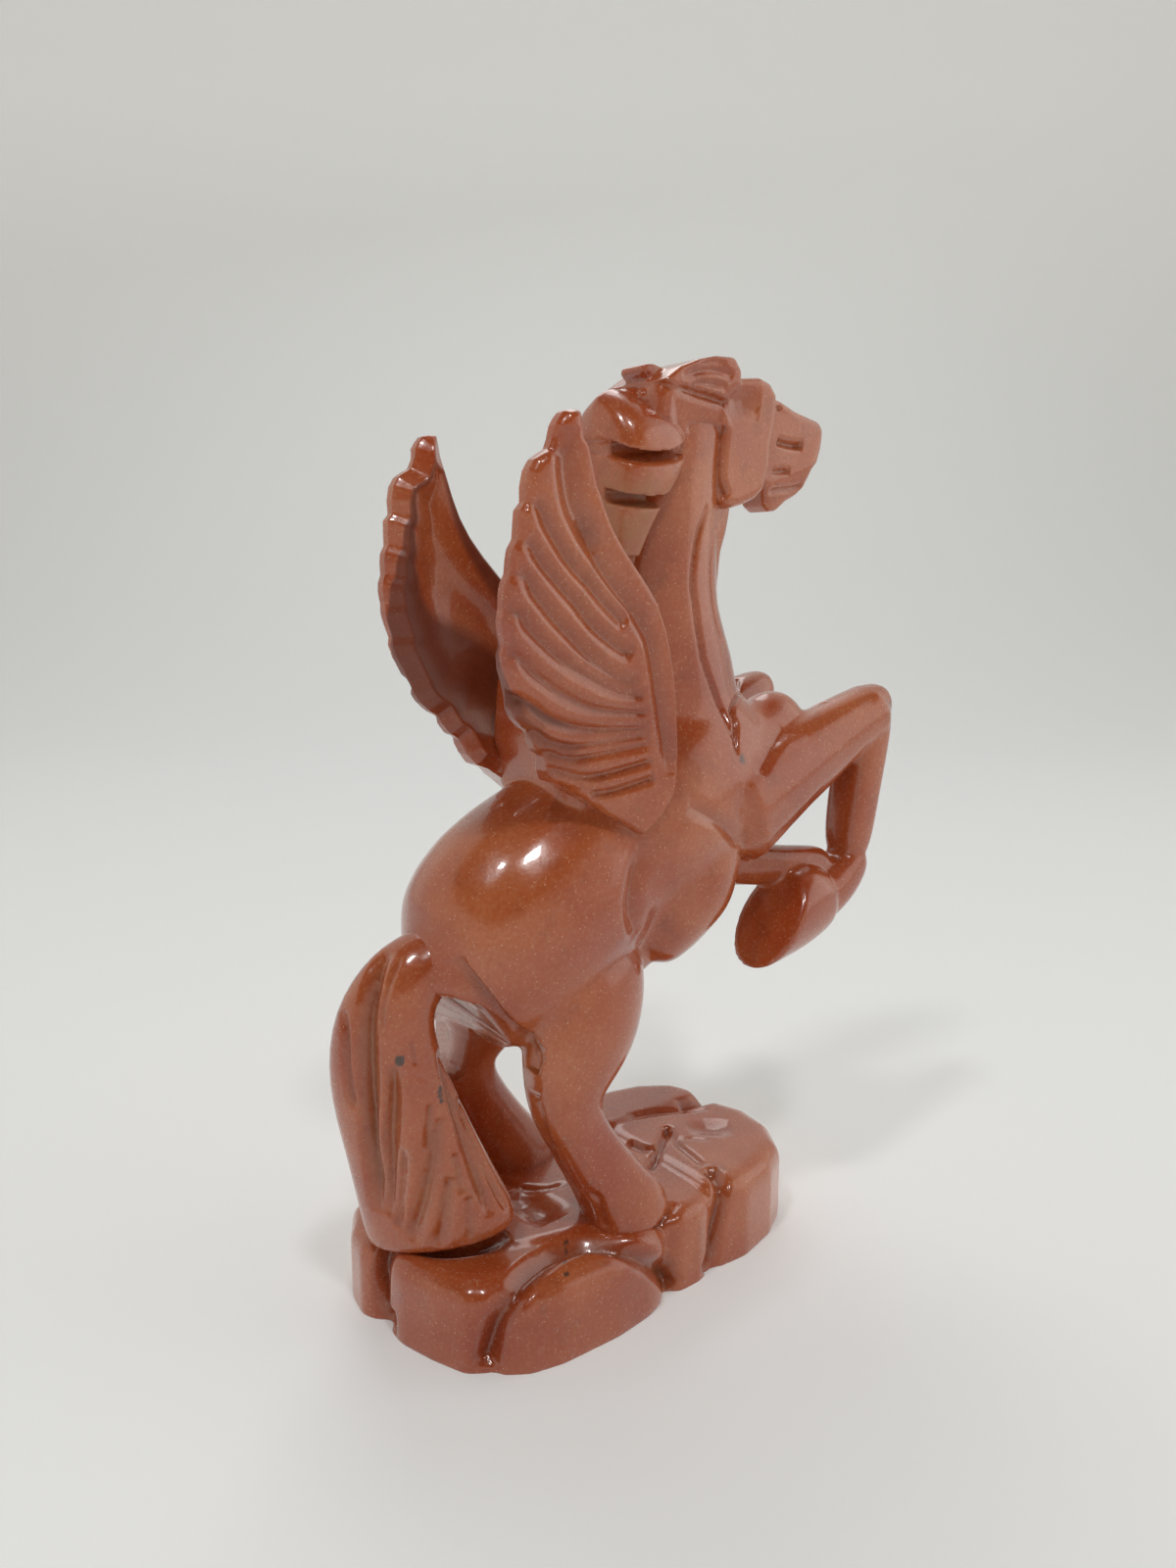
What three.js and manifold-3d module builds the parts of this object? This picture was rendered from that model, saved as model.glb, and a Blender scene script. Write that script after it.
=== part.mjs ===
// Winged horse carved in stone, rearing on a rock base. Millimetres, +Z up.
// The origin is the middle of the base's flat underside, +X is the way the horse faces
// and +Y is the horse's left. The carving is divided into members along its own carved
// boundaries, with a hairline gap between neighbours.
import * as THREE from "three";
import { mergeVertices } from "three/addons/utils/BufferGeometryUtils.js";
import Module from "manifold-3d";

const wasm = await Module();
wasm.setup();

// Hairline between neighbouring members.
const gap = 0.35;
// Slivers thinner than this, left by the cuts, are closed up.
const sliver = 0.02;

// Rock base.
const baseLength = 106;
const baseWidth = 57;
const baseHeight = 18;
const rockRounding = 5;
const rockSides = 26;
const cleftWidth = 4.4;

// Stance: the hips above the rock, and the hind hooves on it.
const hipSetback = 15;
const hipHeight = 63;
const hindSpread = 31;
const hoofLength = 21;
const hoofWidth = 15;
const hoofHeight = 12;
const hockWidth = 13;
const hockDepth = 18;
const thighWidth = 20;
const thighDepth = 32;
const hindSweep = 13;
const strideBack = 5;

// Trunk, leaning back as the horse rears.
const trunkLean = 38;
const trunkLength = 62;
const rumpWidth = 45;
const rumpDepth = 43;
const barrelWidth = 46;
const barrelDepth = 46;
const breastWidth = 18;
const breastDepth = 22;
const bellySpread = 18;

// Neck, mane and head.
const neckLength = 80;
const neckLean = 83;
const neckWidth = 21;
const neckDepth = 27;
const neckArch = 2;
const headLength = 44;
const headDrop = 5;
const cheekWidth = 20;
const cheekDepth = 28;
const muzzleWidth = 13;
const muzzleDepth = 20;
const forelockHeight = 14;
const carvedEdge = 2.6;
const maneWidth = 25;
const maneReach = 25.5;
const maneSlot = 2.6;
const lockHeight = 9.5;

// Wings: a fan of feathers on a rounded leading band.
const wingSetback = 8.6;
const wingHeight = 80;
const wingChord = 39;
const wingProud = 2;
const wingFlare = 5;
const wingTuck = 13;
const wingThickness = 5.5;
const featherCount = 15;
const featherRidge = 1.5;
const featherScallop = 1.6;
const wingBand = 0.3;
const innerFace = 0.8;

// Tail.
const tailReach = 23;
const tailWidth = 28;
const tailHemWidth = 34.5;
const tailHemDepth = 18;
const tailDrift = 2.6;
const tailThickness = 13.5;
const tailTwist = 50;
const tailGroove = 1;
const tailHover = 1;

// Forelegs.
const forearmLength = 50;
const cannonLength = 36;
const foreHoofLength = 26;
const foreHoofDepth = 20;
const forearmDepth = 28;
const foreSpread = 30;
const kneeWidth = 13;
const cannonWidth = 11;
const cannonDepth = 11;

const radians = Math.PI / 180;
const across = new THREE.Vector3(0, 1, 0);
const right = -1;
const left = 1;

function point(x, y, z) {
  return new THREE.Vector3(x, y, z);
}

function station(at, width, depth, square = 0) {
  return { at, wide: width / 2, deep: depth / 2, square };
}

function toSolid(geometry) {
  const merged = mergeVertices(geometry, 1e-5);
  return new wasm.Manifold(new wasm.Mesh({
    numProp: 3,
    vertProperties: new Float32Array(merged.attributes.position.array),
    triVerts: new Uint32Array(merged.index.array),
  }));
}

function joined(solids) {
  return solids.reduce((sum, solid) => sum.add(solid));
}

function cutBy(solid, cutters) {
  return cutters.reduce((rest, cutter) => rest.subtract(cutter), solid);
}

// Skin over rings of points, closed by a fan at each end.
function skin(rings, firstTip, lastTip) {
  const sides = rings[0].length;
  const points = [firstTip, ...rings.flat(), lastTip];
  const faces = [];
  for (let side = 0; side < sides; side++) {
    const next = (side + 1) % sides;
    faces.push(0, 1 + next, 1 + side);
    for (let ring = 0; ring < rings.length - 1; ring++) {
      const a = 1 + ring * sides + side;
      const b = 1 + ring * sides + next;
      faces.push(a, b, b + sides, a, b + sides, a + sides);
    }
    const lastRing = 1 + (rings.length - 1) * sides;
    faces.push(points.length - 1, lastRing + side, lastRing + next);
  }
  const geometry = new THREE.BufferGeometry().setFromPoints(points);
  geometry.setIndex(faces);
  return toSolid(geometry);
}

// Rounded limb through a few stations, with domed ends.
function limb(stations, options = {}) {
  const { grow = 0, sides = 14, steps = 3, dome = 0.5, widthAxis = across, ripple = () => 0 } = options;
  const path = new THREE.CatmullRomCurve3(stations.map((s) => s.at));
  const sizes = new THREE.CatmullRomCurve3(
    stations.map((s) => point(s.wide, s.deep, s.square)), false, "catmullrom", 0.5);
  const count = (stations.length - 1) * steps;
  const ringAt = (u, scale, shift) => {
    const along = path.getTangent(u);
    const side = widthAxis.clone().addScaledVector(along, -widthAxis.dot(along)).normalize();
    const rise = along.clone().cross(side);
    const size = sizes.getPoint(u);
    const power = 1 - 0.55 * size.z;
    const centre = path.getPoint(u).addScaledVector(along, shift);
    return Array.from({ length: sides }, (_, k) => {
      const angle = (2 * Math.PI * k) / sides;
      const c = Math.cos(angle);
      const s = Math.sin(angle);
      const swell = grow + ripple(u, k);
      return centre.clone()
        .addScaledVector(side, scale * (size.x + swell) * Math.sign(c) * Math.abs(c) ** power)
        .addScaledVector(rise, scale * (size.y + swell) * Math.sign(s) * Math.abs(s) ** power);
    });
  };
  const domeOf = (end) => dome * Math.min(end.wide, end.deep) + grow;
  const firstDome = domeOf(stations[0]);
  const lastDome = domeOf(stations.at(-1));
  const rings = [ringAt(0, 0.75, -0.66 * firstDome)];
  for (let k = 0; k <= count; k++) {
    rings.push(ringAt(k / count, 1, 0));
  }
  rings.push(ringAt(1, 0.75, 0.66 * lastDome));
  const firstTip = path.getPoint(0).addScaledVector(path.getTangent(0), -firstDome);
  const lastTip = path.getPoint(1).addScaledVector(path.getTangent(1), lastDome);
  return skin(rings, firstTip, lastTip);
}

// Slab with rounded rims over an outline, from low to high along an axis. A flat foot keeps its edge.
function slab(corners, low, high, options = {}) {
  const { grow = 0, rounding = rockRounding, sides = 20, flatFoot = false, axis = "y", tension = 0.35 } = options;
  const outline = new THREE.CatmullRomCurve3(corners, true, "catmullrom", tension);
  const plan = outline.getSpacedPoints(sides).slice(0, sides);
  const middle = plan.reduce((sum, p) => sum.add(p), point(0, 0, 0)).divideScalar(sides);
  const reach = Math.min(...plan.map((p) => p.distanceTo(middle)));
  const ringAt = (inset, level) => plan.map((p) => {
    const q = middle.clone().lerp(p, 1 + (grow - inset) / reach);
    q[axis] = level;
    return q;
  });
  const rim = [0, 30, 60, 90].map((degrees) => ({
    inset: rounding * (1 - Math.cos(degrees * radians)),
    drop: rounding * (1 - Math.sin(degrees * radians)),
  }));
  const top = rim.map(({ inset, drop }) => ringAt(inset, high + grow - drop));
  const foot = flatFoot
    ? [ringAt(0, low - grow)]
    : rim.map(({ inset, drop }) => ringAt(inset, low - grow + drop)).reverse();
  const firstTip = middle.clone();
  const lastTip = middle.clone();
  firstTip[axis] = low - grow;
  lastTip[axis] = high + grow;
  return skin([...foot, ...top], firstTip, lastTip);
}

// Anchor points of the skeleton, in the plane between left and right.
const hip = point(-hipSetback, 0, baseHeight + hipHeight);
const trunkWay = point(Math.cos(trunkLean * radians), 0, Math.sin(trunkLean * radians));
const trunkRise = point(-trunkWay.z, 0, trunkWay.x);
const neckWay = point(Math.cos(neckLean * radians), 0, Math.sin(neckLean * radians));

// Place on the trunk: a share of its length from the hip, a rise above its line, a shift to the left.
function onTrunk(share, rise, shift = 0) {
  return hip.clone()
    .addScaledVector(trunkWay, share * trunkLength)
    .addScaledVector(trunkRise, rise)
    .add(point(0, shift, 0));
}

const neckFoot = onTrunk(0.68, 0);
const wingFoot = onTrunk(0.5, 0.03 * barrelDepth).add(point(-wingSetback, 0, 0));
const poll = neckFoot.clone().addScaledVector(neckWay, neckLength);

function onNeck(share, forward = 0) {
  return neckFoot.clone().addScaledVector(neckWay, share * neckLength).add(point(forward, 0, 0));
}

function rock(plan, top, grow, rounding = rockRounding) {
  const corners = plan.map(([x, y]) => point(x * baseLength / 2, y * baseWidth / 2, 0));
  return slab(corners, 0, top, { grow, rounding, sides: rockSides, flatFoot: true, axis: "z", tension: 0.25 });
}

// Cleft sawn along the rock between two boulders, or round the domed one at the horse's right.
function cleft(path, grow) {
  const places = path.map(([x, y, z]) => point(x * baseLength / 2, y * baseWidth / 2, z * baseHeight));
  return limb(places.map((at) => station(at, cleftWidth, cleftWidth)), { grow: -grow, sides: 8, steps: 2 });
}

function rockBase(grow = 0) {
  const boulders = joined([
    rock([[-0.72, 0], [-0.49, 0.2], [-0.51, 0.91], [-0.72, 0.95], [-0.87, 0.81], [-0.95, 0.53], [-0.98, 0.28],
      [-0.95, 0.1]], baseHeight - 1, grow, 0.8 * rockRounding),
    rock([[-0.95, -0.04], [-0.95, -0.21], [-0.91, -0.49], [-0.85, -0.75], [-0.78, -0.84], [-0.45, -0.9],
      [-0.3, 0.28], [-0.79, 0.35], [-0.91, 0.07]], baseHeight - 0.5, grow, 0.9 * rockRounding),
    rock([[-0.79, -0.77], [-0.74, -0.93], [-0.66, -1.03], [-0.53, -1.09], [-0.26, -1.09], [-0.09, -1.05],
      [0.05, -0.97], [0.08, -0.77], [0.04, -0.42], [-0.72, -0.42]], baseHeight - 1, grow, 1.3 * rockRounding),
    rock([[-0.64, -0.56], [0.04, -0.84], [0.11, -0.95], [0.23, -0.95], [0.34, -0.87], [0.38, -0.35], [0.38, 0.84],
      [0.15, 0.98], [-0.64, 0.95]], baseHeight, grow, 0.7 * rockRounding),
    rock([[0.29, -0.9], [0.51, -0.92], [0.72, -0.81], [0.87, -0.65], [0.97, -0.35], [1, 0], [0.95, 0.32],
      [0.83, 0.7], [0.3, 0.77]], baseHeight + 1, grow, 0.9 * rockRounding),
    rock([[0.26, 0.42], [0.57, 0.35], [0.87, 0.35], [0.92, 0.51], [0.87, 0.74], [0.73, 0.91], [0.57, 0.98],
      [0.28, 0.95]], baseHeight + 2, grow, 0.8 * rockRounding),
  ]);
  return cutBy(boulders, [
    cleft([[-0.77, -0.82, -0.2], [-0.76, -0.86, 0.4], [-0.7, -0.88, 0.78], [-0.58, -0.84, 0.97], [-0.4, -0.77, 1],
      [-0.2, -0.74, 1], [-0.04, -0.8, 0.93], [0.05, -0.88, 0.7], [0.09, -0.94, 0.3], [0.09, -0.95, -0.2]], grow),
    cleft([[-0.97, 0.03, -0.2], [-0.96, 0.05, 0.45], [-0.9, 0.07, 0.88], [-0.8, 0.1, 1.02]], grow),
    cleft([[0.26, -0.97, -0.2], [0.26, -0.97, 0.45], [0.28, -0.91, 0.85], [0.31, -0.75, 1.08], [0.28, -0.5, 1.1]], grow),
    cleft([[0.22, 1.02, -0.2], [0.22, 1, 0.5], [0.25, 0.95, 0.85], [0.28, 0.72, 1.08]], grow),
    cleft([[-0.56, 1, -0.2], [-0.55, 0.98, 0.45], [-0.54, 0.92, 0.82], [-0.53, 0.66, 1]], grow),
    cleft([[0.99, 0.34, -0.2], [0.97, 0.33, 0.5], [0.9, 0.33, 0.88], [0.73, 0.32, 1.1], [0.5, 0.32, 1.12]], grow),
    underfoot(),
  ]);
}

// Room below the rock's flat underside.
function underfoot() {
  const corners = [[-1, -1], [1, -1], [1, 1], [-1, 1]];
  return slab(corners.map(([x, y]) => point(x * baseLength, y * baseWidth, 0)), -baseHeight, 0, { axis: "z" });
}

// Level that the hem of the tail stops at, over the whole of the rock and beyond its rear edge.
function hemLevel() {
  return rock([[-1.4, -1.2], [0.4, -1.2], [0.4, 1.2], [-1.4, 1.2]], baseHeight, tailHover);
}

function hindquarters(grow = 0) {
  return limb([
    station(onTrunk(-0.42, 0.08 * rumpDepth), rumpWidth * 0.45, rumpDepth * 0.5),
    station(onTrunk(-0.28, 0.04 * rumpDepth), rumpWidth * 0.82, rumpDepth * 0.88),
    station(onTrunk(-0.02, 0.04 * rumpDepth), rumpWidth, rumpDepth * 1.08),
    station(onTrunk(0.34, -0.02 * rumpDepth), rumpWidth * 0.92, rumpDepth),
  ], { grow, sides: 20, dome: 0.7 });
}

// Hollow carved out below the root of the tail, between the tail and the thighs.
function undercut() {
  const spot = (out, fall) => point(hip.x - out * rumpDepth, 0, hip.z - fall * rumpDepth);
  return slab([
    spot(1.1, 0.22), spot(0.55, 0.22), spot(0.46, 0.26), spot(0.35, 0.37), spot(0.25, 0.52), spot(0.22, 0.65),
    spot(0.23, 0.86), spot(1.1, 0.86),
  ], -0.7 * rumpWidth, 0.7 * rumpWidth, { sides: 26, tension: 0.1 });
}

function barrel(grow = 0) {
  const chest = limb([
    station(onTrunk(0.28, -0.02 * barrelDepth), barrelWidth * 0.86, barrelDepth * 0.94),
    station(onTrunk(0.5, -0.04 * barrelDepth), barrelWidth, barrelDepth * 1.03),
    station(onTrunk(0.8, -0.09 * barrelDepth), barrelWidth * 0.94, barrelDepth * 0.95),
    station(onTrunk(1.02, -0.13 * barrelDepth), barrelWidth * 0.74, barrelDepth * 0.7),
  ], { grow, sides: 20 });
  const breasts = [right, left].map((side) => limb([
    station(onTrunk(1.02, -0.22 * barrelDepth, side * breastWidth * 0.5), breastWidth, breastDepth),
    station(onTrunk(1.22, -0.26 * barrelDepth, side * breastWidth * 0.45), breastWidth * 0.8, breastDepth * 0.8),
  ], { grow, sides: 12, steps: 2, dome: 0.8 }));
  const bellies = [right, left].map((side) => limb([
    station(onTrunk(0.32, -0.43 * barrelDepth, side * bellySpread / 2), barrelWidth * 0.47, barrelDepth * 0.45),
    station(onTrunk(0.49, -0.37 * barrelDepth, side * bellySpread / 2), barrelWidth * 0.59, barrelDepth * 0.54),
    station(onTrunk(0.66, -0.31 * barrelDepth, side * bellySpread / 2), barrelWidth * 0.47, barrelDepth * 0.45),
  ], { grow, sides: 14, dome: 0.9 }));
  return joined([chest, ...breasts, ...bellies]);
}

// Hind leg from inside the hip to the hoof on the rock.
function hindLeg(side, stride, grow = 0) {
  const stand = baseHeight - hoofHeight / 6;
  const spot = (sweep, share, z) =>
    point(hip.x + sweep * hindSweep + stride, side * share * hindSpread / 2, stand + z);
  return cutBy(limb([
    station(spot(0.15, 0.65, 0.94 * hipHeight), thighWidth, thighDepth),
    station(spot(0.42, 0.8, 0.76 * hipHeight), thighWidth, thighDepth * 0.95),
    station(spot(0.06, 0.95, 0.59 * hipHeight), thighWidth * 0.8, thighDepth * 0.66),
    station(spot(-0.12, 1, 0.46 * hipHeight), hockWidth, hockDepth * 0.82),
    station(spot(0.15, 1.05, 0.32 * hipHeight), hockWidth * 0.92, hockDepth * 0.72),
    station(spot(0.52, 1.1, hoofHeight), hockWidth, hockDepth * 0.8),
    station(spot(0.82, 1.12, hoofHeight / 2), hoofWidth, hoofLength * 0.82, 0.2),
    station(spot(1, 1.12, 0), hoofWidth * 1.1, hoofLength, 0.3),
  ], { grow, sides: 16, steps: 2, dome: 0 }), [undercut()]);
}

// Tail: arches out from the croup and falls as a broad grooved sheet that stops over the rock.
function tail(grow = 0) {
  const drop = hip.z - baseHeight;
  const spot = (out, side, fall) => point(hip.x - rumpDepth / 4 - out * tailReach, side, hip.z - fall * drop);
  const twist = point(Math.cos(tailTwist * radians), -Math.sin(tailTwist * radians), 0);
  const strands = (u, k) => (k % 2 === 0 ? 0 : -tailGroove * Math.min(1, 2.5 * u));
  return limb([
    station(spot(0.1, 0, 0.05), tailWidth * 0.46, tailThickness),
    station(spot(0.44, 0, 0.06), tailWidth * 0.52, tailThickness),
    station(spot(0.8, 0, 0.11), tailWidth * 0.6, tailThickness),
    station(spot(1, 0, 0.24), tailWidth * 0.76, tailThickness),
    station(spot(0.97, 0, 0.43), tailWidth * 0.92, tailThickness),
    station(spot(0.79, 0, 0.65), tailWidth, tailThickness * 1.07),
    station(spot(0.64, -0.4 * tailDrift, 0.84), (tailWidth + tailHemWidth) / 2, (tailThickness + tailHemDepth) / 2),
    station(spot(0.53, -tailDrift, 1), tailHemWidth, tailHemDepth),
  ], { grow, sides: 36, steps: 2, dome: 0.2, widthAxis: twist, ripple: strands });
}

function neck(grow = 0) {
  return limb([
    station(onNeck(0, neckArch), neckWidth * 1.6, neckDepth * 1.7),
    station(onNeck(0.25, neckArch), neckWidth * 1.35, neckDepth * 1.4),
    station(onNeck(0.5, -0.75 * neckArch), neckWidth, neckDepth * 1.05),
    station(onNeck(0.78, -neckArch), neckWidth * 0.85, neckDepth * 0.95),
    station(onNeck(1, 0), neckWidth * 0.75, neckDepth * 0.85),
  ], { grow, sides: 16, steps: 3 });
}

// Outline on the head: shares of its length forward of the poll, and shares of a depth above its line.
function headOutline(depth, shares) {
  return shares.map(([along, rise]) =>
    poll.clone().add(point(along * headLength, 0, rise * depth - along * headDrop)));
}

function head(grow = 0) {
  const cheek = slab(headOutline(cheekDepth, [
    [0.17, 0.29], [0.34, 0.36], [0.41, 0.32], [0.46, 0.26], [0.45, 0.07], [0.42, -0.13], [0.42, -0.31], [0.38, -0.48],
    [0.32, -0.56], [0.23, -0.63], [0.15, -0.69], [0.1, -0.66], [0.03, -0.48], [0.03, -0.34], [0.04, -0.2], [0.06, 0.1],
  ]), -cheekWidth / 2, cheekWidth / 2, { grow, rounding: carvedEdge, sides: 28, tension: 0.2 });
  const muzzle = slab(headOutline(muzzleDepth, [
    [0.3, 0.4], [0.57, 0.37], [0.68, 0.31], [0.86, 0.28], [0.9, 0.22], [0.88, 0], [0.85, -0.19], [0.8, -0.38],
    [0.3, -0.4],
  ]), -muzzleWidth / 2, muzzleWidth / 2, { grow, rounding: carvedEdge, sides: 26, tension: 0.2 });
  const chin = slab(headOutline(muzzleDepth, [
    [0.35, -0.1], [0.8, -0.1], [0.83, -0.32], [0.81, -0.6], [0.75, -0.7], [0.68, -0.79], [0.61, -0.9], [0.56, -0.92],
    [0.5, -0.83], [0.4, -0.6],
  ]), -0.34 * muzzleWidth, 0.34 * muzzleWidth, { grow, rounding: 0.7 * carvedEdge, sides: 26, tension: 0.2 });
  return joined([cheek, muzzle, chin]);
}

// Forelock over the poll, swept back to a ragged end.
function forelock(grow = 0) {
  const crest = slab(headOutline(forelockHeight, [
    [-0.12, 0.43], [0, 0.79], [0.25, 1], [0.38, 0.93], [0.4, 0.43], [0.1, 0.21], [-0.06, 0.14],
  ]), -0.45 * cheekWidth, 0.45 * cheekWidth, { grow, rounding: carvedEdge });
  const tuft = slab(headOutline(forelockHeight, [
    [-0.34, 0.57], [-0.2, 0.43], [-0.05, 0.5], [0.1, 0.29], [-0.1, -0.07], [-0.3, 0],
  ]), -0.35 * cheekWidth, 0.35 * cheekWidth, { grow, rounding: 0.8 * carvedEdge });
  return joined([crest, tuft]);
}

// Locks of the mane, from the poll down: the height of each as a share of the first, and how far its
// rear and its sides run from the neck's line, as shares of the mane's reach.
const maneLocks = [
  { height: 1, rear: 1, side: 0.14 },
  { height: 0.58, rear: 0.93, side: -0.3 },
  { height: 0.95, rear: 0.84, side: -0.42 },
  { height: 0.95, rear: 0.76, side: -0.46 },
];

// One lock of the mane, folded over the crest of the neck.
function maneLock(number, grow = 0) {
  const { height, rear, side } = maneLocks[number];
  const above = maneLocks.slice(0, number).reduce((sum, lock) => sum + lock.height * lockHeight + maneSlot, 0);
  const top = 1 - above / neckLength;
  const foot = top - height * lockHeight / neckLength;
  const back = -rear * maneReach;
  const front = side * maneReach;
  const middle = (back + front) / 2;
  return slab([
    onNeck(top - 0.01, 0.93 * back), onNeck(top, middle), onNeck(top, front - 0.07 * maneReach),
    onNeck((top + foot) / 2 + 0.02, front), onNeck(foot, middle), onNeck(foot + 0.03, back),
  ], -maneWidth / 2, maneWidth / 2, { grow, rounding: carvedEdge, sides: 14 });
}

// Wing: rings run round the sheet, one every quarter feather from the lowest feather to the tip.
// With a reach beyond its outer face it is the plain envelope of the wing.
function wing(side, { grow = 0, steps = 4, beyond = 0 } = {}) {
  const curve = (points) => new THREE.CatmullRomCurve3(
    points.map(([x, z]) => point(x * wingChord, 0, z * wingHeight)));
  const front = curve([[-0.08, 0], [0.13, 0.125], [0.128, 0.225], [0.1, 0.3], [0.01, 0.49],
    [-0.22, 0.64], [-0.37, 0.775], [-0.54, 0.975]]);
  const root = curve([[-0.15, 0.01], [-0.04, 0.11], [-0.04, 0.21], [-0.065, 0.3], [-0.155, 0.46],
    [-0.33, 0.61], [-0.46, 0.775], [-0.577, 0.975]]);
  const edge = curve([[-0.22, 0.04], [-0.4, 0.15], [-0.57, 0.256], [-0.73, 0.39], [-0.77, 0.55],
    [-0.74, 0.725], [-0.67, 0.875], [-0.59, 1]]);
  const place = (p, lift) => {
    const height = p.z / wingHeight;
    const reach = barrelWidth / 2 + wingProud + wingFlare * height / 2;
    const towardsBack = 0.2 - 1.5 * p.x / wingChord;
    const tuck = wingTuck * Math.max(0, 1 - height) ** 3 * towardsBack;
    return point(wingFoot.x + p.x, side * (reach - tuck + lift), wingFoot.z + p.z);
  };
  const columns = featherCount * steps;
  const rings = [];
  for (let k = 0; k <= columns; k++) {
    const s = k / columns;
    const crown = beyond > 0 ? 1 : 1 - (2 * (k % steps) / steps - 1) ** 2;
    const a = front.getPoint(s);
    const b = root.getPoint(s);
    const c = edge.getPoint(s);
    const bend = point(b.x + 0.45 * (c.x - b.x), 0, b.z + 0.32 * (c.z - b.z));
    const vane = new THREE.QuadraticBezierCurve3(b, bend, c);
    const tip = c.clone().addScaledVector(c.clone().sub(bend).normalize(), featherScallop * crown + grow);
    const lip = a.clone().addScaledVector(a.clone().sub(b).normalize(), grow);
    const onVane = (t) => (t === 1 ? tip : vane.getPoint(t));
    const skinLift = grow + beyond;
    const outer = [
      place(lip, skinLift - wingBand * wingThickness),
      place(a.clone().lerp(b, 0.2), skinLift),
      place(a.clone().lerp(b, 0.7), skinLift),
      place(b, skinLift - featherRidge * 0.6),
      ...[0.25, 0.5, 0.75, 0.95].map((t) =>
        place(onVane(t), skinLift + featherRidge * (crown - 0.6) * (0.4 + 0.6 * t))),
      place(onVane(1), skinLift - wingBand * wingThickness),
    ];
    const depthAt = (t) => -wingThickness * (innerFace + (1 - innerFace) * t) - grow;
    const inner = [1, 0.66, 0.33, 0].map((t) => place(onVane(t), depthAt(t)));
    inner.push(place(lip, depthAt(0)));
    const overrun = grow * (k === columns) - grow * (k === 0);
    rings.push([...outer, ...inner].map((p) => p.setZ(p.z + overrun)));
  }
  const ordered = side === left ? rings : rings.map((ring) => ring.reverse());
  const middleOf = (ring) => ring.reduce((sum, p) => sum.add(p), point(0, 0, 0)).divideScalar(ring.length);
  return skin(ordered, middleOf(ordered[0]), middleOf(ordered.at(-1)));
}

// Stone left standing between the roots of the wings.
function wingSaddle() {
  const halfWidth = barrelWidth / 2 + wingProud - innerFace * wingThickness - gap;
  const spot = (x, z) => point(wingFoot.x + x * wingChord, 0, wingFoot.z + z * wingHeight);
  return slab([
    spot(-0.28, 0.02), spot(-0.36, 0.15), spot(-0.34, 0.36), spot(-0.24, 0.48), spot(-0.02, 0.46),
    spot(0.08, 0.3), spot(0.08, 0.1), spot(-0.1, 0),
  ], -halfWidth, halfWidth, { rounding: carvedEdge });
}

// Points of a bent foreleg: shoulder, knee and fetlock.
function foreJoints(side) {
  const tucked = side === left ? 0.84 : 1;
  const shoulder = onTrunk(0.8, -0.28 * barrelDepth, side * 0.45 * foreSpread);
  const knee = shoulder.clone()
    .add(point(0.87 * tucked * forearmLength, side * 0.07 * foreSpread, 0.38 * forearmLength));
  const fetlock = knee.clone().add(point(-0.06 * cannonLength, -side * 0.03 * foreSpread, -cannonLength));
  return { shoulder, knee, fetlock };
}

function forearm(side, grow = 0) {
  const { shoulder, knee } = foreJoints(side);
  return limb([
    station(shoulder, kneeWidth * 1.6, forearmDepth),
    station(shoulder.clone().lerp(knee, 0.33), kneeWidth * 1.35, 0.79 * forearmDepth),
    station(shoulder.clone().lerp(knee, 0.66), kneeWidth * 1.1, 0.57 * forearmDepth),
    station(knee, kneeWidth, 0.43 * forearmDepth, 0.3),
  ], { grow, sides: 14, steps: 2 });
}

function foreShank(side, grow = 0) {
  const { knee, fetlock } = foreJoints(side);
  const back = point(-0.1 * cannonDepth, 0, 0);
  return limb([
    station(knee.clone().lerp(fetlock, 0.06).add(back), cannonWidth, cannonDepth, 0.6),
    station(knee.clone().lerp(fetlock, 0.5).addScaledVector(back, 2), cannonWidth, 0.9 * cannonDepth, 0.6),
    station(fetlock, cannonWidth, 0.9 * cannonDepth, 0.5),
  ], { grow, sides: 14, steps: 2 });
}

// Pastern running back from the fetlock, and the hoof, whose flat sole looks back and up.
function foreHoof(side, grow = 0) {
  const { fetlock } = foreJoints(side);
  const spot = ([back, rise]) => fetlock.clone().add(point(-back * foreHoofLength, 0, rise * foreHoofLength));
  const pastern = limb([
    station(spot([0, 0.05]), cannonWidth, foreHoofDepth * 0.45),
    station(spot([0.2, -0.1]), cannonWidth, foreHoofDepth * 0.52),
    station(spot([0.52, -0.28]), cannonWidth * 1.15, foreHoofDepth * 0.62),
  ], { grow, sides: 14, steps: 2, dome: 0.3 });
  const hoof = slab([
    [0.98, 0.02], [0.88, 0.06], [0.63, 0], [0.47, -0.13], [0.47, -0.4], [0.57, -0.53], [0.81, -0.64], [1.13, -0.78],
    [1.43, -0.83],
  ].map(spot), fetlock.y - hoofWidth * 0.6, fetlock.y + hoofWidth * 0.6,
  { grow, rounding: 1.4 * carvedEdge, sides: 26, tension: 0.2 });
  return joined([pastern, hoof]);
}

function solidMesh(name, solid, colour) {
  const { vertProperties, triVerts } = solid.simplify(sliver).getMesh();
  const geometry = new THREE.BufferGeometry();
  geometry.setAttribute("position", new THREE.BufferAttribute(new Float32Array(vertProperties), 3));
  geometry.setIndex(new THREE.BufferAttribute(new Uint32Array(triVerts), 1));
  geometry.computeVertexNormals();
  const material = new THREE.MeshStandardMaterial({ color: colour, roughness: 0.18, metalness: 0 });
  const mesh = new THREE.Mesh(geometry, material);
  mesh.name = name;
  return mesh;
}

const polished = 0xb0603f;
const weathered = 0xa8704f;
const carving = new THREE.Group();

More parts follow.
